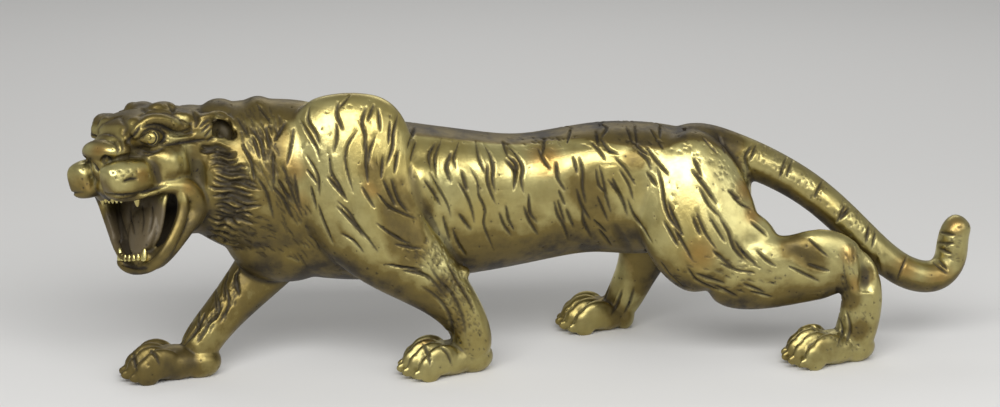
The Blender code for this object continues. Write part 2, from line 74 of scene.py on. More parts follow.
# stations of the limbs: x, y, z, half width, half depth
limbs = {
    "neck": [
        (-68, -5, 71, 17, 26), (-84, -5, 74, 22, 33), (-99, -4.5, 77, 23.5, 32), (-113, -3.5, 79.5, 24, 29.5),
        (-125, -3.5, 83.5, 22.5, 25), (-134, -6, 87, 16, 17),
    ],
    "leftForeleg": [
        (-69, -11, 111.5, 6, 12), (-69, -14.5, 105, 9.6, 21), (-69, -18.5, 90, 11, 26),
        (-65.5, -22, 68.5, 11.5, 24),
        (-55.5, -24, 54, 11, 19.5), (-42, -24.5, 42, 9.8, 14), (-31, -23.5, 31.5, 8.6, 10.4),
        (-24, -22.5, 21.5, 7.6, 8.4), (-21.5, -21.5, 12.5, 7.8, 8.6), (-23, -21, 5, 7.4, 7.8),
    ],
    "rightForeleg": [
        (-75, 3, 99, 6, 12), (-76, 7, 92, 10, 20), (-78, 11, 78, 10.5, 22), (-84, 12, 62, 10.5, 18.5),
        (-93.5, 8, 48, 10, 14.5), (-102, 3.5, 38.5, 8.8, 11.4), (-111, -1.5, 30, 7.8, 9.4),
        (-120, -6, 21.5, 7, 8), (-128, -10, 13, 7, 7.8), (-131, -12, 6, 6.8, 7.4),
    ],
    "leftThigh": [
        (56, -6, 87, 8, 13), (62, -11, 79, 11, 20), (66, -15.5, 66, 12.5, 23.5), (70.5, -20, 52.5, 12.6, 24),
        (75, -23.5, 41.5, 11.5, 20), (79.5, -25, 33, 8.5, 13),
    ],
    "leftShank": [
        (70, -24, 38, 8, 13), (87, -25.5, 38.5, 9, 17.6), (102, -26.8, 36.8, 7.6, 14),
        (111, -27, 39, 6.6, 14.6),
        (119, -27, 40.2, 6, 15), (127, -27, 39, 5.8, 12), (134, -27, 36, 5, 7),
    ],
    "leftHock": [
        (126, -27, 45, 5, 5.5), (132, -27.4, 38.5, 6, 7.6), (134.6, -27.6, 29.5, 6.5, 8.4),
        (134.2, -28, 20, 6.8, 8.4), (132, -28, 11, 7.4, 8.4), (130, -28, 5, 7.2, 8),
    ],
    "rightThigh": [
        (56, 6, 87, 8, 13), (59, 11, 77, 11, 20), (60, 16.5, 61, 12, 22), (58, 21, 45, 10.8, 16),
        (56, 24, 33, 9, 10.6), (52.5, 26.5, 23.5, 7.6, 8.4), (49, 28.5, 14.5, 7, 8), (45.5, 29.5, 8, 7, 7.2),
        (42, 30, 5, 7, 6.5),
    ],
    "tail": [
        (60, 0, 81, 10, 10), (73, 0, 84.5, 9.4, 9.4), (84, -0.5, 81.3, 8.2, 8.2), (98, -2, 76, 7.6, 7.6),
        (114, -6, 67.6, 7.1, 7.1), (126, -11, 58, 6.9, 6.9), (137, -15.5, 46.8, 6.7, 6.7),
        (148.5, -15.5, 35.8, 6.6, 6.6), (159, -14, 29.4, 6.9, 6.9), (169.5, -12.5, 28, 7, 7),
        (175, -11.5, 33, 6.8, 6.8), (176, -11, 41, 6.6, 6.6), (176.5, -11, 48, 6.4, 6.2),
        (181, -11, 52.5, 4.8, 4.8),
    ],
}

# muscles: centre, half length, half width, half height, pitch
muscles = [
    (-47, -22, 70, 11, 8, 18, 28),
    (-25.8, -23.5, 41.3, 3.4, 4, 2.6, 0),
    (-93, -5, 56, 25, 16, 21, 0),
    (88, -23, 50, 14, 8, 11, 38),
    (-118, -4, 102.6, 8, 10, 6.5, 0),
    (-103, -4, 103.6, 7, 10, 6, 0),
]

# the head in its own frame: forward, left, up from the tip of the nose
headBalls = [
    (-38, 0, -6, 20, 18, 17.5),
    (-49, 0, -8, 17, 20, 18),
    (-44, 0, -24, 14, 18.5, 16),
    (-28, 10, -8.5, 13, 7.8, 11),
    (-28, -10, -8.5, 13, 7.8, 11),
    (-17, 0, -9, 13, 11.5, 8),
    (-34, 13, -26, 4.6, 5.4, 9.5),
]
headLofts = {
    "forehead": [
        (-42, 0, 1, 15, 9), (-32, 0, 4.2, 15.5, 8.6), (-23, 0, 4.8, 15.2, 8), (-15, 0, 4, 13.6, 6.8),
        (-9.4, 0, 2.2, 9.6, 4.6),
    ],
    "noseBridge": [
        (-38, 0, 1, 13, 11), (-26, 0, 0, 10.6, 10.6), (-17, 0, -0.6, 8.6, 9.6), (-9, 0, -3.5, 7.4, 7.6),
        (-4.5, 0, -5, 6.6, 5.6), (-2, 0, -5.5, 5, 4),
    ],
    "jaw": [
        (-45, 0, -21, 16, 9), (-36, 1, -28, 18, 6.8), (-28, 1.8, -35, 16.4, 5.2), (-21.5, 2.6, -41, 14, 4.8),
        (-16.5, 3.2, -45, 11.6, 4.2), (-13, 3.4, -47.2, 9.4, 3),
    ],
}
mouthCut = [
    (8, 10, -29.4, 26, 13.2), (-4, 10, -29.3, 26, 13), (-12, 10, -29, 26, 12.6), (-18, 10, -27, 26, 10.6),
    (-23, 10, -25.7, 24, 8.4), (-27, 10, -25.4, 20, 5.4),
]
throatCut = [
    (4, 2, -29, 9, 11), (-8, 2, -29, 12.5, 14.5), (-20, 1.5, -27.5, 15.5, 15.5), (-30, 1, -25, 14, 10),
    (-37, 0, -23, 10, 6),
]
# the wall of the mouth, the tongue on it, and the rims of the lips
mouthWall = [
    (-12.6, 0, -43.6, 7, 1.4), (-16.4, -1, -39.6, 11.6, 1.7), (-19.4, -1.4, -33.5, 13, 1.9),
    (-21.6, -1.6, -27, 13.4, 2), (-23.6, -1.6, -21, 13.6, 2.4), (-28, -1, -15, 13, 4),
]
tongue = [
    (-12.8, 5.4, -41.4, 3, 1.7), (-13.6, 4.4, -39.6, 5.4, 2.3), (-15.6, 3.4, -35.8, 7, 2.6),
    (-18.6, 2.2, -31, 7.4, 2.4), (-21.6, 1.6, -25, 6.4, 2),
]
nearLip = [
    (-26, 15.4, -18.6, 2, 2), (-28, 16.4, -22.6, 2.1, 2.4), (-26.4, 16.6, -28.4, 1.9, 2.4),
    (-22.6, 16.6, -33.6, 1.7, 2.3), (-19, 16.2, -38, 1.6, 2.3), (-15.6, 14.8, -42.8, 1.6, 2.4),
    (-13.2, 11.6, -45.8, 1.6, 2.2), (-11.4, 7, -47.6, 1.5, 2), (-9.8, 2, -47.8, 1.5, 1.8),
    (-9.8, -3, -46.6, 1.4, 1.6),
    (-11, -6.4, -43.6, 1.3, 1.5),
]
farLip = [
    (-9.6, -13.4, -15.4, 1.7, 2), (-13, -15.2, -19.4, 1.6, 1.8), (-14.6, -15.6, -24, 1.5, 1.7),
    (-14.8, -14.4, -29, 1.4, 1.7), (-14.2, -12.2, -33.6, 1.4, 1.6), (-12.8, -9.2, -38, 1.3, 1.6),
    (-11.2, -5.2, -41.8, 1.3, 1.6), (-10.2, -2, -43, 1.3, 1.5), (-10.8, 1.6, -43.2, 1.3, 1.5),
    (-12.6, 6, -42.8, 1.2, 1.5), (-14.4, 9, -42, 0.9, 1.2),
]
cheekFold = [
    (-17, 12.6, -16.6, 1.8, 2), (-22, 14, -17, 2.2, 2.6), (-27, 15, -17.4, 3, 3.6),
    (-31.5, 15.8, -19.2, 3.2, 4.2),
    (-34.6, 16.2, -23.5, 3, 4), (-35.6, 15.8, -28.5, 2.6, 3.6), (-34, 14.6, -33, 2, 3),
    (-31, 12.6, -36, 1.6, 2.2),
]
farCheek = [
    (-13.6, -13.8, -15.5, 4.8, 1.5), (-17, -15.2, -20, 4.8, 1.4), (-18.4, -15.2, -24.5, 5, 1.3),
    (-18, -14, -29.5, 4.8, 1.3), (-17, -11.8, -34, 4.4, 1.3), (-15, -8.8, -38.6, 3.6, 1.3),
]
chin = [
    (-12.6, -3.5, -45, 3.2, 1.4), (-12.2, 1, -45.6, 3.6, 1.6), (-13, 6, -45.6, 3.6, 1.6),
    (-15, 10.6, -44, 3, 1.4),
]
brow = [
    (-11, 11, 3.2, 1.6, 1.7), (-12.8, 12.4, 5.8, 2.3, 2.1), (-15.8, 13.2, 8, 2.8, 2.4),
    (-20.4, 13.8, 8.8, 3, 2.5),
    (-25.4, 14.6, 7.6, 2.8, 2.4), (-30.4, 15.4, 5, 2.3, 2.2), (-36, 16, 3, 1.8, 2),
]
pad = [
    (2.8, 8.8, -11.8, 3.6, 5), (1.6, 9, -11.5, 5.2, 6.8), (-3.2, 9.3, -11, 6, 7.4), (-9.6, 9.4, -10.8, 6, 7),
    (-15.5, 9.6, -11, 5.4, 6), (-19.5, 10.6, -11.6, 4.4, 4.8), (-22, 11.4, -12, 3, 3.2),
]
gum = [
    (-6.4, -0.5, -17.8, 1.6, 2.4), (-6.6, 6, -18, 1.6, 2.4), (-9.6, 10.8, -18, 1.6, 2),
    (-15, 13, -18, 1.5, 1.8), (-20, 13.8, -18, 1.4, 1.6),
]
# bosses of the forehead: centre and radii, on both sides
bosses = [
    (-17.5, 6.4, 6.6, 5.2, 4, 3.8), (-31, 6, 10, 7.4, 5, 4.2), (-38.5, 12, 5.8, 6.5, 4.6, 4),
]

# strokes of the chisel, read off the side view: across and up in the plane through the body
# that faces the viewer, from the point 50 above the soles
sight = {
    "azimuth": -8.0,
    "elevation": 15.0,
    "distance": 1100.0,
    "height": 50.0,
    "middle": (519, 232.5),  # where that point lies in a picture of 1000 by 407 points
    "point": 0.4,  # mm to a point of that picture
}
pictureWide, pictureHigh = 1000, 407
shoulderStrokes = [
    [(-84, 50), (-84.5, 45), (-81.5, 40), (-80, 36)], [(-87, 44), (-84, 39), (-81, 34), (-80, 30)],
    [(-72.5, 51), (-72.8, 47), (-70.8, 42)], [(-73, 42), (-73, 37), (-74, 33)],
    [(-61.5, 49), (-62.8, 44), (-61.5, 39), (-62, 34)], [(-56, 48), (-55.5, 42)],
    [(-65.5, 39.5), (-68.5, 35), (-69.5, 29), (-68, 22), (-66.5, 17)], [(-61, 35), (-61.2, 28), (-60.5, 21)],
    [(-58, 37), (-59.5, 33), (-60, 29)], [(-75.7, 29.5), (-75, 24), (-72, 19), (-69.5, 14)],
    [(-84.5, 30), (-82, 26), (-80.3, 22), (-80, 16)], [(-90.5, 40), (-91, 35), (-92.5, 28)],
    [(-94, 26), (-92, 20), (-90, 14), (-87, 7)], [(-97.5, 17.5), (-94, 13), (-91, 7)],
    [(-80, 10), (-78, 4), (-75, -3)], [(-72, 12), (-68, 8), (-64, 2), (-60, -3), (-57, -7)],
    [(-62, 17), (-58.5, 11)], [(-48.5, 46), (-50, 40), (-50.5, 34), (-52.5, 28)], [(-42, 41), (-44, 35)],
    [(-54.5, 29), (-55, 23)], [(-48.5, 31), (-49.5, 25)], [(-56, 15), (-52, 10.5), (-47, 8), (-42, 6)],
    [(-50.5, 20), (-48, 13), (-45, 9)], [(-56, 3), (-52, 0), (-47, -3), (-44, -4.5)],
    [(-52, -13), (-46, -14), (-41, -14.5)], [(-68.5, 54), (-71, 51)], [(-58.5, 50), (-60, 46)],
    [(-76, 21.5), (-73, 18), (-69.5, 14)], [(-84, 24), (-81.5, 20.5)],
    [(-89.5, 22), (-88.5, 15), (-87.5, 11)],
    [(-95.5, 20), (-92, 14)], [(-83, 17), (-81.5, 11)], [(-72, 9.5), (-67, 4.5), (-62.5, -1)],
    [(-70, -1), (-66, -3.5), (-63, -7)], [(-51.5, 43), (-52, 37)], [(-41.5, 35), (-43, 30)],
    [(-53.5, 19.5), (-50, 12)], [(-48, -5), (-43, -6), (-40, -6.3)], [(-45, -15.5), (-38, -17)],
]
neckStrokes = [
    [(-106.5, 41), (-103, 36), (-102, 30)], [(-106, 37), (-104, 31)], [(-104, 50.5), (-100, 45)],
    [(-94, 43), (-97, 38)], [(-104, 21), (-101, 16), (-98.5, 7)], [(-98.5, 30), (-98, 20)],
    [(-110, 34), (-107, 28), (-106, 22)], [(-101, 41), (-100, 35)], [(-112, 45), (-109, 40)],
]
flankStrokes = [
    [(-34, 35), (-36, 31), (-35.5, 27)], [(-31.5, 36), (-33.5, 30), (-33, 24)],
    [(-27.5, 31), (-29, 26), (-27.5, 21)],
    [(-24.5, 35), (-26, 30), (-25.5, 27)], [(-17, 35), (-16, 30), (-14, 25)],
    [(-13.5, 34.5), (-11.5, 31), (-10.3, 26), (-10.5, 21), (-9.5, 17)],
    [(-19, 25), (-16.5, 20), (-16, 15), (-13.5, 9), (-14, 3), (-10.5, -6)],
    [(-23.5, 19), (-20.5, 14), (-18.5, 8), (-18, 5)], [(-34.5, 22.5), (-31, 16), (-28.5, 11), (-27.5, 7.5)],
    [(-4, 34.5), (-1, 31), (1.5, 26), (1, 21), (1.8, 16.5)], [(-4.5, 28.5), (-1.5, 24), (-2, 18)],
    [(8, 33), (10, 29), (12, 26)], [(15, 27), (15.5, 22), (18, 17.5)], [(-5, 9.5), (-4, 5), (-2.5, 2)],
    [(2.5, 9), (4, 5), (7, 0)], [(14.5, 11), (15.5, 7), (18, 2.5), (19.5, -2)],
    [(24.5, 29), (25.5, 24), (25.5, 18), (26.5, 13)], [(23.5, 16), (25, 11), (28, 6)],
    [(25.5, 8), (26, 4), (28.5, -1)],
    [(-22.5, 23), (-21, 18)], [(-12.5, 26), (-12.5, 20), (-9.8, 12.5)], [(-37, 20), (-34, 16), (-32, 12)],
    [(-26, 0), (-24.5, -4), (-22, -8)], [(-23, 6), (-20, 2)], [(-6, 35), (-5, 32)],
    [(-3.5, 30), (-1, 27), (-1.5, 22)],
    [(10, 36), (9.5, 32.5)], [(16.5, 15.5), (18, 12)], [(-7.3, 6.5), (-6, 3), (-4, 0)],
    [(4, 14), (4.5, 8), (6.5, 5)],
    [(16, 11.5), (18, 5)], [(19.5, 8), (21.5, 3)], [(22, 29), (23, 25)], [(-30, 5), (-28, -2)],
]
haunchStrokes = [
    [(29.5, 35.5), (32, 33), (34, 30)], [(33.5, 36.5), (36, 33), (38.5, 32)],
    [(39.5, 29), (43, 25), (46, 20)],
    [(41, 24), (44, 19), (45.5, 14)], [(32.5, 25.5), (34, 20), (35, 14), (36.5, 9)],
    [(36.5, 20), (41, 14), (43, 8)],
    [(44, 12), (46, 7), (50, 1), (52.5, -3)], [(52, 33), (55.5, 28), (59, 24)],
    [(55.5, 24.5), (57, 19), (58, 12), (60, 6), (64, 1)], [(58.5, 3.5), (60.5, 0), (63, -4.5)],
    [(63, 0), (66, -5), (69, -10.5)], [(70, 24), (74, 19), (78.5, 12.5)], [(73, 16.5), (76, 11), (80, 7)],
    [(71.5, 7), (74.5, 0), (78.5, -6)], [(77, 5), (79.5, 1), (82, -3)],
    [(81, 5), (84, 0), (86, -6), (90, -11)],
    [(87, -4), (90, -8), (95, -13)], [(82, -13), (87, -15), (93, -16)], [(51.5, -8), (54, -11.5), (57, -14)],
    [(68, -15), (71, -19), (76, -21.5), (80, -23)], [(86.5, 13.5), (89, 11.5), (92, 10)],
    [(109, -14), (114, -16.5), (119, -19)], [(31, 39), (31.5, 36)], [(31, 24), (32, 19), (34.5, 16)],
    [(32, 13), (35, 6)], [(38, 20.5), (40.5, 15)], [(48, 34), (50.5, 32)],
    [(48.5, 32), (51.5, 29), (52.5, 26)],
    [(52, 23), (54, 20)], [(60, 11), (61.5, 7), (65, 0)], [(70.5, 28.5), (72.5, 24)], [(70, 5), (72, 0)],
    [(78.5, -8), (82, -11), (85, -13.5)], [(57.5, -13), (60.5, -17), (64.5, -20.5)],
    [(72, -17), (76, -18.5), (81, -20)],
    [(80, -22), (86, -25)], [(85, 16), (87.5, 14)], [(94, 3.5), (98, 0)], [(96, -8), (99, -11), (102, -13)],
    [(91, -21), (97, -23.5)], [(94, -24), (100, -25.5)], [(117, -13), (123, -15)], [(117, -3.5), (123, -9)],
    [(31, 4), (34, 1)], [(33, 0), (36, -4)],
]
backStrokes = [
    [(20.5, 41), (19.5, 37)], [(31, 44), (35, 42), (33.5, 39)], [(43.5, 41), (45, 37)],
    [(46.5, 42), (47, 37)],
    [(53.5, 40), (55.5, 37), (57, 34.5)], [(56.5, 42), (56.5, 39)], [(66.5, 40), (67.5, 36), (70, 35)],
    [(74.5, 37), (78.5, 32.5)], [(80.5, 37), (82, 33)],
]
tailStrokes = [
    [(92.5, 34), (90.5, 30), (91.5, 26)], [(94.5, 34), (93, 30)], [(106.5, 29), (104.5, 23)],
    [(109, 28), (107.5, 24)],
    [(121, 20), (118.5, 15)], [(130, 10), (127.5, 5)], [(131.5, 9), (129, 6)], [(140, 1.5), (139, -3)],
    [(142.5, -1), (141.5, -5)], [(154.7, -10.7), (152, -17.4)], [(166.7, -12.7), (170.6, -16)],
    [(168.7, -12), (170.6, -14)], [(169, -6.8), (172, -8.1)], [(168.7, -4.1), (172.6, -4.4)],
    [(169.7, -0.1), (173.3, -0.8)],
]
legStrokes = [
    [(-120.8, -24.8), (-120, -31.8), (-124.2, -36.6)], [(-117, -22), (-116, -29), (-119, -35)],
    [(-126, -33), (-129, -39), (-133, -44)], [(-113, -18), (-112, -24)],
]
folds = [  # broader creases between the masses
    [(-43.5, 27), (-42, 20), (-40, 14), (-36.5, 7), (-32, -1)],
    [(38, 3), (41, -3), (45, -9), (48, -15), (53, -20)],
]
chisel = {"half": 0.85, "depth": 0.95, "burr": 0.1, "longer": 1.6}
pits = {"count": 900, "half": (0.25, 0.6), "depth": 0.35}
# grooves of the legs, in points of the side view
legLines = [
    [(388, 264), (412, 269), (432, 280), (448, 300)],
    [(421, 286), (438, 298), (449, 314), (453, 332), (455, 346)],
    [(428, 262), (438, 278), (454, 296), (463, 318), (466, 338)],
    [(447, 262), (457, 280), (468, 298), (475, 314)],
    [(240, 267), (235, 281), (238, 293)], [(229, 270), (224, 286), (226, 300)],
    [(220, 277), (215, 294), (217, 313)],
    [(205, 298), (198, 318), (200, 332)], [(212, 318), (203, 334), (196, 344)],
    [(192, 322), (184, 338), (180, 346)],
    [(824, 300), (836, 312), (842, 330), (838, 346)], [(846, 310), (850, 328), (846, 344)],
    [(610, 285), (604, 300), (598, 310)], [(622, 290), (617, 304), (611, 316)],
    [(634, 288), (630, 302), (624, 314)],
    [(408, 343), (411, 353), (412, 366)], [(423, 343), (428, 354), (431, 368)],
    [(440, 346), (448, 354), (452, 366)],
    [(783, 319), (785, 331), (787, 348)], [(797, 321), (802, 334), (804, 352)],
    [(812, 326), (820, 336), (826, 346)],
    [(133, 348), (134, 358), (137, 372)], [(150, 350), (156, 356), (160, 366)],
]


def headFrame():
    turn = math.radians(pose["faceHeading"])
    forward = Vector((math.cos(turn), math.sin(turn), 0))
    left = Vector((-math.sin(turn), math.cos(turn), 0))
    axes = Matrix((forward, left, Vector((0, 0, 1)))).transposed().to_4x4()
    axes = axes @ Matrix.Rotation(math.radians(pose["headRoll"]), 4, "X")
    return Matrix.Translation(Vector(pose["noseTip"])) @ axes


head = headFrame()
level = Matrix.Identity(4)


def tilt(yaw=0, pitch=0, roll=0):
    turns = ((yaw, "Z"), (pitch, "Y"), (roll, "X"))
    whole = Matrix.Identity(4)
    for angle, axis in turns:
        whole = whole @ Matrix.Rotation(math.radians(angle), 4, axis)
    return whole


def letGo():
    for chosen in list(bpy.context.selected_objects):
        chosen.select_set(False)


def choose(*objects):
    letGo()
    for one in objects:
        one.select_set(True)
    bpy.context.view_layer.objects.active = objects[0]


def applyAll(piece):
    choose(piece)
    for modifier in list(piece.modifiers):
        bpy.ops.object.modifier_apply(modifier=modifier.name)


def addBall(name, centre, radii, turn=level, place=level, segments=28, rings=18):
    letGo()
    bpy.ops.mesh.primitive_uv_sphere_add(segments=segments, ring_count=rings, radius=1)
    piece = bpy.context.active_object
    piece.name = name
    size = Matrix.Diagonal(Vector((*radii, 1)))
    piece.data.transform(Matrix.Scale(mm, 4) @ place @ Matrix.Translation(Vector(centre)) @ turn @ size)
    return piece


def addLimb(name, stations, across=(0, 1, 0), place=level, squareness=(2.0, 2.0)):
    # a cage through oval sections, rounded by subdivision; no primitive carries a changing section
    sides = clay["sides"]
    swell = 6 / (4 + 2 * math.cos(2 * math.pi / sides))
    points = [Vector(s[:3]) for s in stations]
    form = bmesh.new()
    rings = []
    for i, station in enumerate(stations):
        tangent = (points[min(i + 1, len(points) - 1)] - points[max(i - 1, 0)]).normalized()
        side = (Vector(across) - tangent * tangent.dot(Vector(across))).normalized()
        lift = tangent.cross(side)
        ring = []
        for k in range(sides):
            angle = 2 * math.pi * k / sides
            c, s = math.cos(angle), math.sin(angle)
            power = 2 / squareness[0 if s * lift.z >= 0 else 1]
            wide = math.copysign(abs(c) ** power, c) * station[3] * swell
            deep = math.copysign(abs(s) ** power, s) * station[4] * swell
            ring.append(form.verts.new(place @ (points[i] + side * wide + lift * deep) * mm))
        rings.append(ring)
    for a, b in zip(rings, rings[1:]):
        for k in range(sides):
            n = (k + 1) % sides
            form.faces.new((a[k], a[n], b[n], b[k]))
    form.faces.new(rings[0])
    form.faces.new(rings[-1])
    bmesh.ops.recalc_face_normals(form, faces=form.faces)
    mesh = bpy.data.meshes.new(name)
    form.to_mesh(mesh)
    form.free()
    piece = bpy.data.objects.new(name, mesh)
    bpy.context.scene.collection.objects.link(piece)
    rounding = piece.modifiers.new("round", "SUBSURF")
    rounding.levels = rounding.render_levels = 2
    applyAll(piece)
    return piece


def melt(name, pieces, grain, passes, cutters=()):
    choose(*pieces)
    bpy.ops.object.join()
    whole = bpy.context.active_object
    whole.name = name
    skin = whole.modifiers.new("skin", "REMESH")
    skin.mode = "VOXEL"
    skin.voxel_size = grain * mm
    for cutter in cutters:
        cut = whole.modifiers.new("cut", "BOOLEAN")
        cut.operation = "DIFFERENCE"
        cut.solver = "EXACT"
        cut.object = cutter
    soften = whole.modifiers.new("soften", "SMOOTH")
    soften.factor = 0.5
    soften.iterations = passes
    applyAll(whole)
    for cutter in cutters:
        bpy.data.objects.remove(cutter)
    return whole


def roughBody():
    stations = [(x, y, (top + low) / 2, width, (top - low) / 2) for x, y, top, low, width in trunk]
    pieces = [addLimb("trunk", stations, squareness=(2.7, 2.1))]
    pieces += [addLimb(name, limb) for name, limb in limbs.items()]
    for x, y, z, long, wide, high, pitch in muscles:
        pieces.append(addBall("muscle", (x, y, z), (long, wide, high), tilt(pitch=pitch)))
    for f, l, u, long, wide, high in headBalls:
        pieces.append(addBall("skull", (f, l, u), (long, wide, high), place=head))
    pieces.append(addLimb("forehead", headLofts["forehead"], place=head, squareness=(3, 2)))
    pieces.append(addLimb("noseBridge", headLofts["noseBridge"], place=head))
    pieces.append(addLimb("jaw", headLofts["jaw"], place=head, squareness=(2.4, 2.2)))
    cutters = [
        addLimb("mouthCut", mouthCut, place=head, squareness=(3, 3)),
        addLimb("throatCut", throatCut, place=head),
    ]
    for s in (1, -1):
        turn = tilt(yaw=-s * 8, pitch=-14)
        pieces.append(addBall("ear", (-45, s * 16.8, 1.2), (9.6, 5.4, 6.6), turn, head))
        pieces.append(addBall("earBack", (-52.5, s * 17.4, -0.4), (6.8, 6, 7), place=head))
        cutters.append(addBall("earCup", (-46.6, s * 21.8, 1.2), (4.6, 5.4, 3.2), tilt(pitch=12), head))
        cutters.append(addBall("earCup", (-48.6, s * 21.6, -1.6), (2.6, 5.4, 4.2), place=head))
    return melt("body", pieces, clay["grain"], clay["passes"], cutters)


def addPaw(ankle, heading, long=34, wide=20, high=14, heel=9):
    place = Matrix.Translation(Vector((*ankle, 0))) @ tilt(yaw=heading)
    pieces = [
        addBall("heel", (-1, 0, 5.5), (heel, wide * 0.4, 6.8), place=place),
        addBall("instep", (long * 0.26, 0, 6), (long * 0.38, wide * 0.45, 7), place=place),
    ]
    for side, reach in ((-0.36, 0.9), (-0.125, 1.0), (0.125, 1.0), (0.36, 0.9)):
        tip = long * 0.74 * reach
        turn = tilt(yaw=math.degrees(side * 0.4))
        knuckle = (tip - 8.5, side * wide, high * 0.56)
        toe = (tip - 3.2, side * wide * 1.08, high * 0.36)
        claw = (tip + 1.4, side * wide * 1.12, high * 0.24)
        pieces.append(addBall("knuckle", knuckle, (7.6, 2.9, high * 0.45), turn, place))
        pieces.append(addBall("toe", toe, (5.2, 2.9, high * 0.42), turn, place))
        pieces.append(addBall("claw", claw, (3, 1.3, 2.1), turn, place))
    return pieces


def mirrored(stations, s):
    return [(f, s * l, u, wide, deep) for f, l, u, wide, deep in stations]


def faceForms():
    pieces = [
        addBall("nose", (-4.2, -0.4, -0.6), (4.6, 9.2, 4.5), tilt(pitch=-12), head),
        addBall("noseTop", (-10.5, 0, 2.6), (5, 8.6, 3.4), tilt(pitch=-8), head),
        addBall("septum", (-2.8, 0, -5.6), (2.8, 3.4, 6), place=head),
        addBall("upperLip", (-6.6, 0, -13.6), (5, 6, 5.6), place=head),
        addLimb("mouthWall", mouthWall, place=head, squareness=(2.6, 2.6)),
        addLimb("tongue", tongue, place=head),
        addLimb("nearLip", nearLip, across=(0.2, 1, 0.1), place=head),
        addLimb("farLip", farLip, across=(0.2, 1, 0.1), place=head),
        addLimb("farCheek", farCheek, across=(1, 0.25, 0.3), place=head),
        addLimb("chin", chin, across=(0, 0, 1), place=head),
    ]
    for s in (1, -1):
        pieces += [
            addLimb("brow", mirrored(brow, s), across=(0, 0, 1), place=head),
            addLimb("pad", mirrored(pad, s), place=head, squareness=(2.6, 3.2)),
            addLimb("gum", mirrored(gum, s), across=(0, 0, 1), place=head),
            addLimb("cheekFold", mirrored(cheekFold, s), across=(0.2, 1, 0.1), place=head),
            addBall("wing", (-7.4, s * 7.4, -0.8), (4.6, 3.2, 3.8), place=head),
            addBall("cheek", (-28, s * 10.8, -8.5), (10, 7, 9.6), tilt(yaw=-s * 10), head),
            addBall("socket", (-19.4, s * 12.2, 2.4), (4.2, 3.6, 3.8), place=head),
        ]
        for f, l, u, long, wide, high in bosses:
            pieces.append(addBall("boss", (f, s * l, u), (long, wide, high), place=head))
    return pieces


def drawingPlane(flip):
    azimuth, elevation = math.radians(sight["azimuth"]), math.radians(sight["elevation"])
    right = Vector((math.cos(azimuth), flip * math.sin(azimuth), 0))
    back = Vector((
        math.sin(azimuth) * math.cos(elevation),
        -flip * math.cos(azimuth) * math.cos(elevation),
        math.sin(elevation),
    ))
    up = back.cross(right) * flip
    centre = Vector((0, 0, sight["height"]))
    return centre + back * sight["distance"], centre, right, up


def fromView(points):
    # points of the picture to the drawing plane
    across, down = sight["middle"]
    return [((x - across) * sight["point"], (down - y) * sight["point"]) for x, y in points]


